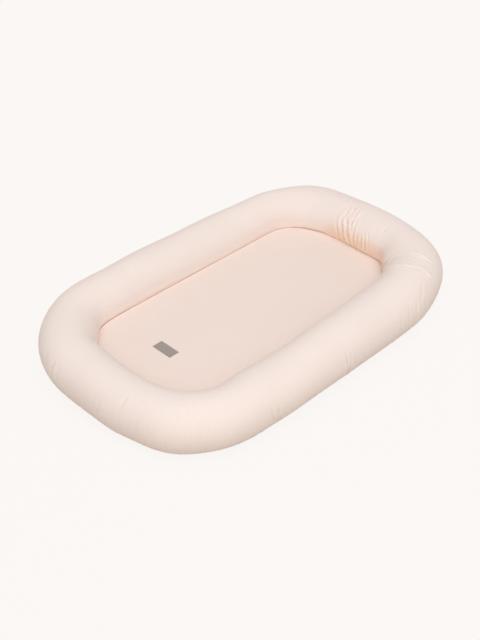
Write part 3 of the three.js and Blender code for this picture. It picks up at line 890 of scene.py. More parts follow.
def subdivide(made, levels=1):
    modifier = made.modifiers.new("Subdivision", "SUBSURF")
    modifier.levels = modifier.render_levels = levels
    bake_modifiers(made)


def thicken(made, thickness):
    """Gives a single layer its thickness, inwards from its outside."""
    modifier = made.modifiers.new("Solidify", "SOLIDIFY")
    modifier.thickness = thickness
    modifier.offset = -1.0
    bake_modifiers(made)


def stuff(made, held, pressure, limit, frames=20):
    """Blows the piece up as cloth with pressure inside. Held points stay, and no point moves further
    than the limit."""
    before = points_of(made.data)
    group = made.vertex_groups.new(name="Held")
    group.add([int(i) for i in np.flatnonzero(held)], 1.0, "REPLACE")
    modifier = made.modifiers.new("Cloth", "CLOTH")
    cloth = modifier.settings
    cloth.quality = 5
    cloth.mass = 0.25
    cloth.tension_stiffness = cloth.compression_stiffness = 12
    cloth.shear_stiffness = 6
    cloth.bending_stiffness = 0.3
    cloth.use_pressure = True
    cloth.uniform_pressure_force = pressure
    cloth.effector_weights.gravity = 0
    cloth.vertex_group_mass = group.name
    modifier.collision_settings.use_collision = False
    modifier.collision_settings.use_self_collision = False
    scene = bpy.context.scene
    modifier.point_cache.frame_start = 1
    modifier.point_cache.frame_end = frames
    for number in range(1, frames + 1):
        scene.frame_set(number)
    bake_modifiers(made)
    scene.frame_set(1)
    made.vertex_groups.clear()
    moved = points_of(made.data) - before
    far = np.maximum(np.linalg.norm(moved, axis=1), TINY)
    kept = limit * np.tanh(far / limit) / far
    move_points(made.data, before + moved * kept[:, None])


def finish_piece(made, body, slot, *nodes):
    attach(made, body)
    if nodes:
        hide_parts(*nodes)
    return made


def roughness_at(points, size):
    """Soft noise at points, from about -1 to 1, that changes over a size."""
    return np.array([noise.noise(Vector(point) / size) for point in points])


class Skin:
    """A finished piece that others lie on or are sewn to."""

    def __init__(self, mesh):
        faces = [tuple(face.vertices) for face in mesh.polygons]
        self.tree = BVHTree.FromPolygons([Vector(point) for point in points_of(mesh)], faces)

    def hit(self, start, direction):
        """Where a line meets the piece, and its normal there."""
        place, normal, _, _ = self.tree.ray_cast(Vector(start), Vector(direction))
        if place is None:
            raise ValueError(f"nothing of the piece lies beyond {tuple(start)}")
        return place, normal


def repeated(unit, places, material):
    """One piece of a small shape repeated at many places, each a matrix."""
    shape = points_of(unit)
    made = add_object(unit, material)
    modifier = made.modifiers.new("Array", "ARRAY")
    modifier.count = len(places)
    bake_modifiers(made)
    matrices = np.array([np.array(place) for place in places])
    points = np.einsum("nij,kj->nki", matrices[:, :3, :3], shape) + matrices[:, None, :3, 3]
    move_points(made.data, points.reshape(-1, 3))
    return made


def small_bead(name, around, rings):
    bm = bmesh.new()
    bmesh.ops.create_uvsphere(bm, u_segments=around, v_segments=rings, radius=1)
    return mesh_from(bm, name)


def stitch_places(points, normals, trim):
    """A matrix for each stitch along points that lie a stitch pitch apart."""
    points = [Vector(point) for point in points]
    size = Matrix.Diagonal((trim.stitch_length / 2, trim.thread / 2, trim.thread / 2, 1))
    for point, following, normal in zip(points, points[1:], normals):
        along = (following - point).normalized()
        side = along.cross(normal).normalized()
        axes = Matrix((along, side, along.cross(side))).transposed().to_4x4()
        yield Matrix.Translation((point + following) / 2) @ axes @ size


def sewn_piece(name, material, rows, trim):
    """Rows of stitches, each given by its points and the cloth's normals there."""
    places = [place for points, normals in rows for place in stitch_places(points, normals, trim)]
    return repeated(small_bead(name, 6, 4), places, material)


# Folds


# A fold on the unrolled cloth, in millimetres: how deep it is, how wide, and the places that it runs
# through, each a distance along the ring and one round the section. A depth below 0 is a ridge.
HEAD_GATHERS = (
    (1.5, 2.4, ((36, 126), (33, 138), (28, 150), (24, 166))),
    (3.2, 2.3, ((32, 93), (27, 105), (29, 120), (26, 131), (18, 141), (14, 154), (12, 174))),
    (3.7, 2.4, ((22, 107), (20, 119), (10, 130), (9, 142), (2, 151), (-3, 158), (-7, 176))),
    (1.9, 1.8, ((14, 106), (13, 117), (10, 128))),
    (3.8, 2.2, ((14, 84), (8, 100), (8, 113), (4, 127), (-1, 138))),
    (2.1, 1.8, ((22, 86), (15, 102))),
    (3.3, 2.2, ((-1, 106), (-2, 120), (-4, 134), (-8, 147), (-11, 158), (-11, 176))),
    (1.9, 1.9, ((-13, 130), (-16, 143), (-17, 176))),
    (1.7, 1.6, ((-22, 141), (-23, 176))),
    (2.2, 1.8, ((-22, 130), (-25, 141), (-30, 176))),
    (2.4, 1.8, ((-29, 125), (-35, 152), (-38, 176))),
    (1.1, 1.8, ((-35, 122), (-39, 138))),
    (-1.4, 3.5, ((60, 66), (40, 80))),
)
CORNER_CREASES = (
    (3.8, 2.4, ((-138, 186), (-155, 159), (-182, 145), (-191, 130), (-190, 117), (-196, 102),
                (-205, 80), (-213, 58), (-214, 38))),
    (2.2, 2.4, ((-294, 124), (-281, 108), (-270, 90), (-258, 72), (-249, 58), (-245, 42))),
    (3.4, 2.2, ((-249, 60), (-246, 50), (-244, 36))),
    (0.8, 3.2, ((-200, 132), (-221, 108), (-233, 84), (-235, 60))),
)
SCATTERED_FOLDS = (
    (0.8, 2.4, ((-63, 114), (-68, 92))),
    (-1.3, 2.6, ((894, -6), (894, 40))),
    (1.0, 2.0, ((899, 2), (899, 36))),
    (1.0, 2.0, ((888, 0), (889, 36))),
    (1.5, 2.0, ((1055, 18), (1058, 58))),
    (1.0, 2.0, ((1001, 24), (998, 41))),
    (0.9, 2.0, ((872, 14), (867, 33))),
    (1.4, 2.0, ((960, 18), (962, 4), (963, -16))),
    (1.2, 2.2, ((1018, 30), (1014, 14), (1010, -8))),
    (1.4, 2.2, ((1086, 30), (1083, 8), (1080, -12))),
    (1.2, 2.4, ((1617, 32), (1616, 18), (1614, -14))),
    (1.4, 2.2, ((1640, 30), (1640, 12), (1641, -20))),
    (1.3, 2.4, ((1666, 30), (1663, 10), (1661, -20))),
    (1.5, 2.2, ((1686, 26), (1688, 8), (1690, -24))),
    (2.4, 1.9, ((1282, 18), (1281, 4), (1283, -10), (1285, -26))),
    (1.7, 1.9, ((1268, 18), (1270, 4), (1272, -10), (1273, -22))),
    (2.2, 2.0, ((1459, 32), (1459, 18), (1460, 2), (1461, -12), (1462, -34))),
    (1.7, 2.0, ((1468, 26), (1468, 10), (1469, -28))),
    (0.8, 2.0, ((80, 80), (93, 70))),
    (0.7, 2.8, ((-292, 20), (-267, 46))),
)
PUCKER_COUNT = 90
# The least and the most for a pucker, in millimetres: how far it strays along the ring, where round the
# section it starts and where it ends, how far it leans, how deep it is and how wide.
PUCKER_STRAY, PUCKER_START, PUCKER_END = (-9, 9), (-46, -34), (-20, 12)
PUCKER_LEAN, PUCKER_DEPTH, PUCKER_WIDTH = (-4, 4), (0.2, 0.7), (1.8, 3.2)


def fold_path(places, rounds=3):
    """A smooth path along a fold's places."""
    path = np.array(places, dtype=float) * MM
    for _ in range(rounds):
        after, before = path[:-1] * 0.75 + path[1:] * 0.25, path[:-1] * 0.25 + path[1:] * 0.75
        path = np.vstack([path[:1], np.hstack([after, before]).reshape(-1, 2), path[-1:]])
    return path


def path_gap(places, path):
    """How far each place lies from a path, and how far along the path that is, as a share."""
    best = np.full(len(places), np.inf)
    share = np.zeros(len(places))
    runs = np.linalg.norm(np.diff(path, axis=0), axis=1)
    done = 0.0
    for start, end, run in zip(path, path[1:], runs):
        step = end - start
        rel = places - start
        along = np.clip(rel @ step / run**2, 0, 1)
        gap = np.linalg.norm(rel - along[:, None] * step, axis=1)
        near = gap < best
        best[near] = gap[near]
        share[near] = (done + along[near] * run) / runs.sum()
        done += run
    return best, share


def add_fold(heights, places, cloth_size, fold):
    """Adds a groove along the fold, with a raised shoulder on each side."""
    path = fold_path(fold[2])
    depth, width = fold[0] * MM, fold[1] * MM
    middle = (path.min(axis=0) + path.max(axis=0)) / 2
    local = places - np.round((places - middle) / cloth_size) * cloth_size
    reach, shoulder_at, shoulder_width = 4.5 * width, 2.2 * width, 1.3 * width
    inside = (local > path.min(axis=0) - reach) & (local < path.max(axis=0) + reach)
    near = np.flatnonzero(inside.all(axis=1))
    gap, share = path_gap(local[near], path)
    ends = soft_step(np.minimum(share, 1 - share), 0, 0.22)
    groove = np.exp(-((gap / width) ** 2))
    shoulder = np.exp(-(((gap - shoulder_at) / shoulder_width) ** 2))
    heights[near] += depth * ends * (0.45 * shoulder - groove)


def puckers(plan):
    """Small puckers that the seam under the ring draws into its lower outside."""
    random = np.random.default_rng(7)
    for along in np.linspace(0, plan.length / MM, PUCKER_COUNT, endpoint=False):
        start = along + random.uniform(*PUCKER_STRAY)
        low, high = random.uniform(*PUCKER_START), random.uniform(*PUCKER_END)
        lean = random.uniform(*PUCKER_LEAN)
        depth, width = random.uniform(*PUCKER_DEPTH), random.uniform(*PUCKER_WIDTH)
        yield depth, width, ((start, low), (start + lean, high))


# Bolster


# Where the cover's mesh has more columns, in millimetres along the ring: the place, how far round it,
# and how many more for each plain one.
CLOSER_COLUMNS = ((0, 62, 3.2), (-215, 75, 1.0))
COVER_COLUMNS = 400
COVER_ROWS = 60
COVER_PRESSURE = 4.0
ON_FLOOR = 0.6 * MM  # the cover is held below this height while it is stuffed
LUMP_SIZE = 70 * MM
FOLDS_FADE = (1 * MM, 8 * MM)  # folds run out between these heights, towards the floor
IRONED = (5 * MM, 55 * MM)  # cloth is flat this near a zip's slot, and free this far from it
IRONED_DEEP = (-24 * MM, -12 * MM)  # free below the first of these depths, flat above the second


def ring_columns(plan, count):
    samples = np.linspace(0, plan.length, 4001)
    density = np.ones_like(samples)
    for place, reach, extra in CLOSER_COLUMNS:
        away = plan.wrapped(samples - place * MM)
        density += extra * np.exp(-((away / (reach * MM)) ** 2))
    total = np.concatenate([[0], np.cumsum((density[1:] + density[:-1]) / 2)])
    return np.interp(np.linspace(0, 1, count + 1), total / total[-1], samples)


def ironed(points, plain, zip_place):
    """Brings cloth back to its plain shape round a zip, which is sewn in flat."""
    x, across, out = zip_place.local(plain)
    beyond = zip_place.beyond_slot(x, across)
    weight = (1 - soft_step(beyond, *IRONED)) * soft_step(out, *IRONED_DEEP)
    return points + (plain - points) * weight[:, None], weight


def against_mattress(plain, turn, bolster):
    """How far each point is held to the plain shape, because the mattress presses on it there."""
    on_well_side = soft_step(-np.cos(turn * 2 * math.pi), 0.2, 0.5)
    return on_well_side * (1 - soft_step(plain[:, 2], bolster.overhang - BULGE_RAMP, bolster.overhang))


def near_slot(place, points, margin):
    """Which points lie at the zip's slot or within a margin round it."""
    depth = 6 * MM
    x, across, out = place.local(points)
    return (place.beyond_slot(x, across) < margin) & (np.abs(out) < depth)


def cut_slot(mesh, place):
    """Cuts a zip's slot in the cloth, turns its edge in and sinks the seam beside it."""
    rings = np.array((0.0, 0.7, 1.8, 2.6, 3.2, 5.0)) * MM
    sunk = np.array((-0.3, 0.1, 0.2, -0.35, 0.0, 0.0)) * MM
    turns = ((0.35 * MM, 0.45 * MM), (0.0, 0.8 * MM))
    cut_round, rim_round, tolerance = 9 * MM, 1 * MM, 0.0001 * MM
    centres = np.empty(len(mesh.polygons) * 3)
    mesh.polygons.foreach_get("center", centres)
    near = np.flatnonzero(near_slot(place, centres.reshape(-1, 3), cut_round))

    def planes():
        for ring in rings:
            yield Vector((place.slot_high + ring, 0, 0)), Vector((1, 0, 0))
            yield Vector((place.slot_low - ring, 0, 0)), Vector((-1, 0, 0))
            for side in (1, -1):
                yield place.centre + place.across * side * (place.slot_half + ring), place.across

    def change(bm):
        bm.faces.ensure_lookup_table()
        geom = [bm.faces[index] for index in near]
        geom += list({e for face in geom for e in face.edges} | {v for face in geom for v in face.verts})
        for point, normal in planes():
            cut = bmesh.ops.bisect_plane(bm, geom=geom, dist=tolerance, plane_co=point, plane_no=normal)
            geom = cut["geom"]
        faces = [part for part in geom if isinstance(part, bmesh.types.BMFace)]
        points = [part for part in geom if isinstance(part, bmesh.types.BMVert)]
        gone = [face for face in faces if place.inside(face.calc_center_median())]
        bmesh.ops.delete(bm, geom=gone, context="FACES")
        points = [vertex for vertex in points if vertex.is_valid]
        x, across, _ = place.local([vertex.co for vertex in points])
        for vertex, beyond in zip(points, place.beyond_slot(x, across)):
            vertex.co += place.out * float(np.interp(beyond, rings, sunk))
        rim = list({e for v in points for e in v.link_edges if e.is_boundary})
        rim = [e for e in rim if near_slot(place, [v.co for v in e.verts], rim_round).all()]
        for inwards, down in turns:
            made = bmesh.ops.extrude_edge_only(bm, edges=rim)["geom"]
            rim = [part for part in made if isinstance(part, bmesh.types.BMEdge) and part.is_boundary]
            for vertex in {vertex for edge in rim for vertex in edge.verts}:
                x, across, _ = (values[0] for values in place.local([vertex.co]))
                middle_x = max(x, place.slot_low + place.slot_half)
                middle_x = min(middle_x, place.slot_high - place.slot_half)
                towards = Vector((middle_x - x, 0, 0)) - place.across * across
                vertex.co += towards.normalized() * inwards - place.out * down

    edit(mesh, change)


def build_cover(bolster, trim):
    plan = Plan(bolster)
    columns = ring_columns(plan, COVER_COLUMNS)
    mesh = grid_mesh("bolster_cover_cloth", len(columns) - 1, COVER_ROWS)
    flat = points_of(mesh)
    along = columns[np.rint(flat[:, 0] * (len(columns) - 1)).astype(int)]
    inset = bolster.start_inset
    girth = math.pi * (bolster.width + bolster.height) / 2
    set_uv(mesh, np.column_stack([along, flat[:, 1] * girth]))
    move_points(mesh, plan.surface(along, flat[:, 1], bolster, inset))
    merged(mesh)
    facing_out(mesh)
    made = add_object(mesh)
    on_floor = points_of(made.data)[:, 2] < inset + ON_FLOOR
    stuff(made, on_floor, COVER_PRESSURE, bolster.puff_limit)
    subdivide(made)
    mesh = made.data
    places = uv_of(mesh)
    zip_place = ZipPlace("bolster_zip", trim)
    plain = plan.surface(places[:, 0], places[:, 1] / girth, bolster, strayed=False)
    points, flat_share = ironed(points_of(mesh), plain, zip_place)
    squeezed = against_mattress(plain, places[:, 1] / girth, bolster)
    points += (plain - points) * squeezed[:, None]
    heights = bolster.lump * roughness_at(points, LUMP_SIZE)
    for fold in (*HEAD_GATHERS, *CORNER_CREASES, *SCATTERED_FOLDS, *puckers(plan)):
        add_fold(heights, places, np.array([plan.length, girth]), fold)
    heights *= (1 - flat_share) * soft_step(points[:, 2], *FOLDS_FADE)
    heights *= 1 - against_mattress(points - (0, 0, BULGE_RAMP), places[:, 1] / girth, bolster)
    points = points + normals_of(mesh) * heights[:, None]
    points[:, 2] = np.maximum(points[:, 2], CAD_LOW.z)
    move_points(mesh, points)
    cut_slot(mesh, zip_place)
    return made


def slot_stitches(place, skin, trim):
    """Two rows of stitches beside a zip's slot and one across each of its ends."""
    half = place.slot_half + STITCHES_BESIDE
    low, high = place.slot_low - STITCHES_BESIDE, place.slot_high + STITCHES_BESIDE
    lift = 8 * MM
    for start, end in (
        ((low, half), (high, half)),
        ((high, half), (high, -half)),
        ((high, -half), (low, -half)),
        ((low, -half), (low, half)),
    ):
        start, end = np.array(start), np.array(end)
        count = max(2, int(np.linalg.norm(end - start) / trim.stitch_pitch))
        rows = start + (end - start) * np.linspace(0, 1, count + 1)[:, None]
        above = place.world(rows[:, 0], rows[:, 1], np.full(len(rows), lift))
        hits = [skin.hit(point, -place.out) for point in above]
        yield [hit[0] + place.out * THREAD_LIFT for hit in hits], [hit[1] for hit in hits]


class LOUNGER_OT_bolster(bpy.types.Operator):
    """Stuffs the bolster's cover, folds its cloth and cuts the slot for its zip"""

    bl_idname = "lounger.bolster"
    bl_label = "Bolster cover"

    def execute(self, context):
        settings, trim = context.scene.lounger_bolster, context.scene.lounger_trim
        made = build_cover(settings, trim)
        made.data.materials.append(ribbed_cotton(settings))
        finish_piece(made, "nest", "blush_cotton", "bolster_cover")
        place = ZipPlace("bolster_zip", trim)
        thread = sewing_thread("blush_thread", tinted(settings.colour, 0.94))
        rows = slot_stitches(place, Skin(made.data), trim)
        stitches = sewn_piece("bolster_zip_topstitching", thread, rows, trim)
        finish_piece(stitches, "nest", "blush_cotton")
        return {"FINISHED"}


def roll_stations(plan, bolster, steps=9, runs=190):
    """Places along the stuffed roll and how much of its full section it has there. Its two ends are
    domed and meet at the head end."""
    turn = np.linspace(0, math.pi / 2, steps + 1)
    near = bolster.end_depth * (1 - np.cos(turn))
    share = np.sin(turn)
    usable = plan.length - bolster.end_gap
    middle = np.linspace(near[-1], usable - near[-1], runs + 1)[1:-1]
    along = np.concatenate([near, middle, usable - near[::-1]]) + bolster.end_gap / 2
    return along, np.concatenate([share, np.ones(len(middle)), share[::-1]])


def build_roll(name, bolster, trim, inset, material):
    lump, lump_size = 0.35 * MM, 50 * MM
    plan = Plan(bolster)
    along, share = roll_stations(plan, bolster)
    mesh = grid_mesh(name, len(along) - 1, 40)
    flat = points_of(mesh)
    station = np.rint(flat[:, 0] * (len(along) - 1)).astype(int)
    place = along[station], flat[:, 1], bolster, inset, share[station]
    plain = plan.surface(*place, strayed=False)
    points, _ = ironed(plan.surface(*place), plain, ZipPlace("bolster_zip", trim))
    move_points(mesh, points)
    merged(mesh)
    facing_out(mesh)
    made = add_object(mesh, material)
    mesh = made.data
    sunk = lump * (roughness_at(points_of(mesh), lump_size) - 1)
    move_points(mesh, points_of(mesh) + normals_of(mesh) * sunk[:, None])
    return made


class LOUNGER_OT_roll(bpy.types.Operator):
    """Makes the stuffed roll inside the bolster: its casing and its filling"""

    bl_idname = "lounger.roll"
    bl_label = "Stuffed roll"

    def execute(self, context):
        bolster, trim = context.scene.lounger_bolster, context.scene.lounger_trim
        casing = build_roll("bolster_liner_casing", bolster, trim, bolster.liner_inset, liner_cloth())
        finish_piece(casing, "nest", "liner_cloth", "bolster_liner")
        filling = build_roll("bolster_filling_fibre", bolster, trim, bolster.filling_inset, fibre_fill())
        finish_piece(filling, "nest", "fibre", "bolster_filling")
        return {"FINISHED"}


# Mattress


MATTRESS_PRESSURE = 2.0


def pad_mesh(name, plan, height, columns=110, rows=60):
    """A pad's face over its plan, with a height for each distance in from its edge."""
    mesh = grid_mesh(name, columns, rows)
    points, inset = plan.spread(points_of(mesh))
    move_points(mesh, np.column_stack([points, height(inset, points)]))
    set_uv(mesh, np.column_stack([inset, points[:, 0]]))
    return mesh


def quarter_round(inset, edge):
    share = np.clip(inset / edge, 0, 1)
    return np.sqrt(1 - (1 - share) ** 2)


def build_mattress_top(bolster, mattress, material):
    upright, lump, lump_size = 0.1 * MM, 0.3 * MM, 60 * MM
    side_share, ends_share, tips_share = 0.4, 0.6, 0.95
    plan = PadPlan(bolster, -mattress.gap)
    seam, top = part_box("mattress_cover_bottom")[1].z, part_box("mattress_cover_top")[1].z
    held = []

    def height(inset, points):
        held.append(inset < mattress.edge)
        half_x, half_y = plan.half
        squeezed = soft_step(points[:, 1], side_share * half_y, half_y)
        squeezed *= 1 - soft_step(np.abs(points[:, 0]), ends_share * half_x, tips_share * half_x)
        edge = mattress.edge * (1 - 0.5 * squeezed)
        straight = (top - seam - edge) * np.clip(inset / upright, 0, 1)
        rounded = edge * quarter_round(inset, edge)
        return seam + straight + rounded + mattress.rise * squeezed * (inset > 0)

    made = add_object(pad_mesh("mattress_top_cloth", plan, height), material)
    stuff(made, held[0], MATTRESS_PRESSURE, mattress.puff_limit)
    subdivide(made)
    points = points_of(made.data)
    points[:, 2] += lump * roughness_at(points, lump_size) * soft_step(points[:, 2], seam, top)
    move_points(made.data, tucked_under(points, Skin(bpy.data.objects["bolster_cover_cloth"].data)))
    thicken(made, mattress.cloth)
    return made


def tucked_under(points, skin):
    """Lowers points to stay just below the bolster that bulges over them."""
    start_height, clearance = 20 * MM, 0.1 * MM
    points = points.copy()
    for point in points:
        start = Vector((point[0], point[1], CAD_LOW.z + start_height))
        above = skin.tree.ray_cast(start, Vector((0, 0, 1)))[0]
        if above:
            point[2] = min(point[2], above.z - clearance)
    return points


def lower_face(mattress, floor, seam):
    """A height for each distance in from the edge: sides that slope in to a flat underside."""
    bend = 1.5 * MM
    slope = (seam - floor) / mattress.drawn_in

    def height(inset, points):
        return pressed_flat(seam - slope * inset, floor, bend)

    return height


def build_mattress_bottom(bolster, mattress, trim, material):
    low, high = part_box("mattress_cover_bottom")
    plan = PadPlan(bolster, -mattress.gap)
    mesh = pad_mesh("mattress_bottom_cloth", plan, lower_face(mattress, low.z, high.z))
    turned_over(mesh)
    place = ZipPlace("mattress_zip", trim)
    cut_slot(mesh, place)
    return add_object(mesh, material), place


def build_foam(bolster, mattress, trim, material):
    behind_zip, dent = 1.2 * MM, (5 * MM, 12 * MM)
    low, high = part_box("mattress_foam")
    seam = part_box("mattress_cover_bottom")[1].z
    plan = PadPlan(bolster, -mattress.gap - mattress.foam_inset)

    def upper(inset, points):
        return seam + (high.z - seam) * quarter_round(inset, 2 * mattress.edge)

    face = pad_mesh("mattress_foam_block", plan, upper)
    base = pad_mesh("underside", plan, lower_face(mattress, low.z, seam))
    turned_over(base)

    def join(bm):
        bm.from_mesh(base)
        bmesh.ops.remove_doubles(bm, verts=bm.verts, dist=MERGE_GAP)

    edit(face, join)
    bpy.data.meshes.remove(base)
    place = ZipPlace("mattress_zip", trim)
    points = points_of(face)
    x, across, out = place.local(points)
    beyond = place.beyond_slot(x, across)
    room = -(trim.tape_depth + trim.tape_thickness + behind_zip)
    weight = 1 - soft_step(beyond, *dent)
    dented = np.minimum(out, room + (out - room) * (1 - weight))
    move_points(face, points + np.outer(dented - out, place.out))
    return add_object(face, material)


class LOUNGER_OT_mattress(bpy.types.Operator):
    """Makes the foam mattress and the two halves of its cover"""

    bl_idname = "lounger.mattress"
    bl_label = "Mattress"

    def execute(self, context):
        scene = context.scene
        bolster, mattress, trim = scene.lounger_bolster, scene.lounger_mattress, scene.lounger_trim
        cotton = plain_cotton(mattress)
        top = build_mattress_top(bolster, mattress, cotton)
        finish_piece(top, "mattress", "plain_cotton", "mattress_cover_top")
        bottom, place = build_mattress_bottom(bolster, mattress, trim, cotton)
        finish_piece(bottom, "mattress", "plain_cotton", "mattress_cover_bottom")
        thread = sewing_thread("mattress_thread", tinted(mattress.colour, 0.94))
        rows = slot_stitches(place, Skin(bottom.data), trim)
        stitches = sewn_piece("mattress_zip_topstitching", thread, rows, trim)
        finish_piece(stitches, "mattress", "plain_cotton")
        foam = build_foam(bolster, mattress, trim, open_foam())
        finish_piece(foam, "mattress", "foam", "mattress_foam")
        return {"FINISHED"}


class LOUNGER_OT_base(bpy.types.Operator):
    """Stretches the panel under the mattress and sews it to the bolster"""

    bl_idname = "lounger.base"
    bl_label = "Base panel"

    THICKNESS_SHARE = 0.7
    SEAM_INSET = 4 * MM
    SLACK = 0.25 * MM
    SLACK_FROM_EDGE = 30 * MM
    SLACK_SIZE = 45 * MM

    def execute(self, context):
        scene = context.scene
        bolster, mattress, trim = scene.lounger_bolster, scene.lounger_mattress, scene.lounger_trim
        low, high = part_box("base_panel")
        thickness = high.z - low.z
        grown = high.x - (CAD_HIGH.x - bolster.width)
        plan = PadPlan(bolster, grown)

        def height(inset, points):
            slack = soft_step(inset, 0, self.SLACK_FROM_EDGE) * self.SLACK
            spots = np.column_stack([points, np.zeros(len(points))])
            return high.z - slack * (1 + roughness_at(spots, self.SLACK_SIZE))

        mesh = pad_mesh("base_panel_cloth", plan, height, 90, 50)
        panel = add_object(mesh, plain_cotton(mattress))
        thicken(panel, thickness * self.THICKNESS_SHARE)
        finish_piece(panel, "nest", "plain_cotton", "base_panel")
        line = PadPlan(bolster, grown - self.SEAM_INSET)
        count = int(line.along[-1] / trim.stitch_pitch)
        seam = line.rim(np.linspace(0, line.along[-1], count + 1))
        depth = high.z - thickness * self.THICKNESS_SHARE - THREAD_LIFT
        points = np.column_stack([seam, np.full(len(seam), depth)])
        thread = sewing_thread("panel_thread", tinted(mattress.colour, 0.9))
        rows = [(points, [Vector((0, 0, -1))] * len(points))]
        stitches = sewn_piece("base_panel_stitching", thread, rows, trim)
        finish_piece(stitches, "nest", "plain_cotton")
        width, length = 2 * high.y, 2 * high.x
        corners = [share * 2 * (CAD_HIGH.y - bolster.width) for share in WELL_RADIUS_SHARES]
        missing = sum((1 - math.pi / 4) * (radius + grown) ** 2 for radius in corners)
        width * length - missing
        return {"FINISHED"}


# Label


class LOUNGER_OT_label(bpy.types.Operator):
    """Weaves the bare label and sews it down"""

    bl_idname = "lounger.label"
    bl_label = "Label"

    EDGE = 0.6 * MM
    RIM = 1.6 * MM
    RIM_RISE = 0.12 * MM
    STITCH_INSET = 0.3 * MM
    LOOKED_FROM = 20 * MM

    def execute(self, context):
        trim = context.scene.lounger_trim
        skin = Skin(bpy.data.objects["mattress_top_cloth"].data)
        low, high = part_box("label_patch")
        thickness = high.z - low.z
        mesh = grid_mesh("label_patch_weave", 26, 52)
        flat = points_of(mesh)
        places = np.array(low.xy) + flat[:, :2] * np.array((high - low).xy)
        edge = np.minimum(places - np.array(low.xy), np.array(high.xy) - places).min(axis=1)
        lift = thickness * (0.35 + 0.65 * quarter_round(edge, self.EDGE))
        lift += self.RIM_RISE * (1 - soft_step(edge, self.RIM, 1.5 * self.RIM))
        ground = self.ground(skin, places, high.z)
        move_points(mesh, np.column_stack([places, ground + lift]))
        set_uv(mesh, places)
        label = add_object(mesh, satin_label(trim))
        thicken(label, thickness * 0.6)
        finish_piece(label, "mattress", "label_cloth", "label_patch")
        stitches = self.stitches(skin, trim, thickness)
        finish_piece(stitches, "mattress", "stitch_thread", "label_stitching")
        return {"FINISHED"}

    def ground(self, skin, places, above):
        start = above + self.LOOKED_FROM
        return np.array([skin.hit((x, y, start), (0, 0, -1))[0].z for x, y in places])

    def stitches(self, skin, trim, thickness):
        low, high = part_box("label_stitching")
        left, right = low.x + self.STITCH_INSET, high.x - self.STITCH_INSET
        front, back = low.y + self.STITCH_INSET, high.y - self.STITCH_INSET
        corners = [np.array(pair) for pair in ((left, front), (right, front), (right, back), (left, back))]
        rows = []
        for start, end in zip(corners, corners[1:] + corners[:1]):
            count = int(np.linalg.norm(end - start) / (0.8 * trim.stitch_pitch))
            places = start + (end - start) * np.linspace(0, 1, count + 1)[:, None]
            heights = self.ground(skin, places, high.z) + thickness + THREAD_LIFT
            rows.append((np.column_stack([places, heights]), [Vector((0, 0, 1))] * len(places)))
        thread = sewing_thread("label_thread", tinted(trim.label_colour, 0.8))
        return sewn_piece("label_patch_stitches", thread, rows, trim)


# Zips


def tape_piece(place, side, trim, material):
    """One woven tape of a zip, with the slight wave of a sewn edge."""
    wave_depth, wave_rate, sunk = 0.08 * MM, 190, 0.05 * MM
    mesh = grid_mesh(f"{place.prefix}_tape_{'upper' if side > 0 else 'lower'}_weave", 150, 8)
    flat = points_of(mesh)
    x = place.tape_low + flat[:, 0] * (place.tape_high - place.tape_low)
    across = side * (place.tape_middle + (flat[:, 1] - 0.5) * trim.tape_width)
    wave = wave_depth * np.sin(flat[:, 0] * wave_rate) * flat[:, 1]
    move_points(mesh, place.world(x, across, -trim.tape_depth - sunk - np.abs(wave)))
    set_uv(mesh, np.column_stack([x, flat[:, 1]]))
    made = add_object(mesh, material)
    if normals_of(made.data)[0] @ np.array(place.out) < 0:
        turned_over(made.data)
    thicken(made, trim.tape_thickness * 0.85)
    return made


def coil_piece(place, side, trim, material):
    """One half of a zip's coil: a row of rounded turns sewn over a cord."""
    # The turns stop short of the middle line, where the slider's post runs.
    post_room, reach_out, half_turn = 0.34 * MM, 2.7 * MM, 0.29 * MM
    top, bottom = 0.62 * MM, -1.05 * MM
    cord_at, cord_down, cord_radius = 1.9 * MM, 0.35 * MM, 0.42 * MM
    axes = Matrix((Vector((1, 0, 0)), place.across, place.out)).transposed().to_4x4()
    lean = Matrix.Rotation(side * math.radians(5), 4, "Z")
    size = Matrix.Diagonal((half_turn, (reach_out - post_room) / 2, (top - bottom) / 2, 1))
    middle = place.centre + place.across * side * (reach_out + post_room) / 2
    middle += place.out * (top + bottom) / 2
    first = 0.25 if side > 0 else 0.75
    turns = []
    for number in range(int((place.high - place.low) / trim.tooth_pitch)):
        along = Vector((place.low + (number + first) * trim.tooth_pitch, 0, 0))
        turns.append(Matrix.Translation(middle + along) @ axes @ lean @ size)
    name = f"{place.prefix}_coil_{'upper' if side > 0 else 'lower'}_turns"
    made = repeated(small_bead(name, 6, 5), turns, material)

    def add_cord(bm):
        centre = place.centre + place.across * side * cord_at - place.out * cord_down
        centre.x = (place.high + place.low) / 2
        size = Matrix.Diagonal(((place.high - place.low) / 2, cord_radius, cord_radius, 1))
        cord = bmesh.ops.create_cube(bm, size=2, matrix=Matrix.Translation(centre) @ axes @ size)
        edges = list({edge for vertex in cord["verts"] for edge in vertex.link_edges})
        bmesh.ops.bevel(
            bm, geom=edges, offset=0.4 * cord_radius, segments=2, profile=0.5, affect="EDGES", material=-1
        )

    edit(made.data, add_cord)
    return made


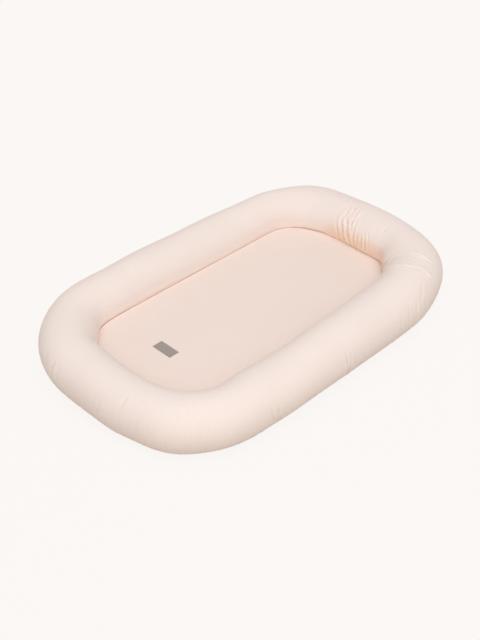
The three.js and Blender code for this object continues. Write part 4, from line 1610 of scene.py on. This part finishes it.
def softened(node, material):
    """A copy of a packed metal part, with its corners rounded off."""
    radius, same_point = 0.16 * MM, 0.005 * MM
    mesh = frame["nodes"][node].data.copy()
    mesh.name = f"{node}_cast"
    mesh.materials.clear()

    def change(bm):
        bmesh.ops.remove_doubles(bm, verts=bm.verts, dist=same_point)
        bmesh.ops.dissolve_limit(
            bm, angle_limit=math.radians(1), verts=bm.verts, edges=bm.edges, use_dissolve_boundaries=False
        )
        sharp = [e for e in bm.edges if e.is_manifold and e.calc_face_angle(0) > math.radians(32)]
        bmesh.ops.bevel(
            bm, geom=sharp, offset=radius, segments=2, profile=0.5, affect="EDGES", material=-1,
            clamp_overlap=True,
        )

    edit(mesh, change)
    made = add_object(mesh, material)
    mesh.polygons.foreach_set("use_smooth", [False] * len(mesh.polygons))
    return made


class LOUNGER_OT_zips(bpy.types.Operator):
    """Makes both zips: tapes, coils, stops, sliders and the pull"""

    bl_idname = "lounger.zips"
    bl_label = "Zips"

    def execute(self, context):
        trim = context.scene.lounger_trim
        tape, coil, metal = woven_tape(trim), nylon(trim), satin_metal(trim)
        for prefix in ("bolster_zip", "mattress_zip"):
            place = ZipPlace(prefix, trim)
            for side, name in ((1, "upper"), (-1, "lower")):
                self.finish(tape_piece(place, side, trim, tape), "zip_tape", f"{prefix}_tape_{name}")
                self.finish(coil_piece(place, side, trim, coil), "coil_plastic", f"{prefix}_coil_{name}")
            for name in ("closed_stop", "open_stop", "slider", "pull"):
                node = f"{prefix}_{name}"
                if node in frame["nodes"]:
                    self.finish(softened(node, metal), "slider_metal", node)
        return {"FINISHED"}

    def finish(self, made, slot, node):
        finish_piece(made, frame["nodes"][node]["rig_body"], slot, node)


# Stage


def studio_world(stage):
    """Soft light from all round, and a backdrop that the camera sees pale."""
    g = Graph(bpy.data.worlds.new("studio"), "ShaderNodeOutputWorld")
    lit = g.node("ShaderNodeBackground", None, Color=(1.0, 0.985, 0.97), Strength=stage.dome)
    shown = g.node("ShaderNodeBackground", None, Color=stage.floor_colour, Strength=1.0)
    both = g.node("ShaderNodeMixShader", None, g.seen_directly(), lit.outputs[0], shown.outputs[0])
    return g.finish(both)


class LOUNGER_OT_stage(bpy.types.Operator):
    """Sets up the floor, the lamps and the camera"""

    bl_idname = "lounger.stage"
    bl_label = "Stage"

    FLOOR_RADIUS = 14.0
    SENSOR = 36.0
    KEY_FROM = (-0.25, -0.30, 1.0)
    FILL_FROM = (-0.80, -1.38, 1.10)
    FILL_SIZE = 1.1
    KEY_COLOUR = (1.0, 0.985, 0.965)

    def execute(self, context):
        scene = context.scene
        stage = scene.lounger_stage
        bm = bmesh.new()
        bmesh.ops.create_circle(bm, cap_ends=True, segments=64, radius=self.FLOOR_RADIUS)
        add_object(mesh_from(bm, "floor"), paper_floor(stage), smooth=False)
        scene.world = studio_world(stage)
        self.light(scene, stage)
        self.camera(scene, stage)
        return {"FINISHED"}

    def light(self, scene, stage):
        lamp = bpy.data.lights.new("key", "SUN")
        lamp.energy = stage.key
        lamp.angle = stage.key_width
        lamp.color = self.KEY_COLOUR
        key = bpy.data.objects.new("key", lamp)
        key.rotation_euler = Vector(self.KEY_FROM).to_track_quat("Z", "Y").to_euler()
        scene.collection.objects.link(key)
        box = bpy.data.lights.new("fill", "AREA")
        box.energy = stage.fill
        box.size = self.FILL_SIZE
        box.color = self.KEY_COLOUR
        fill = bpy.data.objects.new("fill", box)
        fill.location = self.FILL_FROM
        fill.rotation_euler = Vector(self.FILL_FROM).to_track_quat("Z", "Y").to_euler()
        scene.collection.objects.link(fill)

    def camera(self, scene, stage):
        level = math.cos(stage.elevation)
        east, north = math.sin(stage.azimuth) * level, -math.cos(stage.azimuth) * level
        back = Vector((east, north, math.sin(stage.elevation)))
        data = bpy.data.cameras.new("camera")
        data.sensor_width = self.SENSOR
        data.lens = stage.lens
        data.shift_x, data.shift_y = stage.shift_x, stage.shift_y
        made = bpy.data.objects.new("camera", data)
        made.location = back * stage.distance
        made.rotation_euler = back.to_track_quat("Z", "Y").to_euler()
        scene.collection.objects.link(made)
        scene.camera = made
        scene.view_settings.view_transform = "Standard"


# Add-on

SETTINGS = {
    "lounger_bolster": BolsterSettings,
    "lounger_mattress": MattressSettings,
    "lounger_trim": TrimSettings,
    "lounger_stage": StageSettings,
}
OPERATORS = (
    LOUNGER_OT_stage,
    LOUNGER_OT_bolster,
    LOUNGER_OT_roll,
    LOUNGER_OT_mattress,
    LOUNGER_OT_base,
    LOUNGER_OT_label,
    LOUNGER_OT_zips,
)


class LOUNGER_PT_panel(bpy.types.Panel):
    """Lists the nest's settings and the operators that build it"""

    bl_idname = "LOUNGER_PT_panel"
    bl_label = "Infant Lounger"
    bl_space_type = "VIEW_3D"
    bl_region_type = "UI"
    bl_category = "Lounger"

    def draw(self, context):
        for operator in OPERATORS:
            self.layout.operator(operator.bl_idname)
        for name in SETTINGS:
            group = getattr(context.scene, name)
            box = self.layout.box()
            for key in group.bl_rna.properties.keys():
                if key not in ("name", "rna_type"):
                    box.prop(group, key)


def register():
    for kind in (*SETTINGS.values(), *OPERATORS, LOUNGER_PT_panel):
        bpy.utils.register_class(kind)
    for name, settings in SETTINGS.items():
        setattr(bpy.types.Scene, name, bpy.props.PointerProperty(type=settings))


def unregister():
    for name in SETTINGS:
        delattr(bpy.types.Scene, name)
    for kind in (LOUNGER_PT_panel, *reversed(OPERATORS), *reversed(SETTINGS.values())):
        bpy.utils.unregister_class(kind)


def main():
    register()
    for operator in OPERATORS:
        module, name = operator.bl_idname.split(".")
        getattr(getattr(bpy.ops, module), name)()


if __name__ == "__main__":
    main()
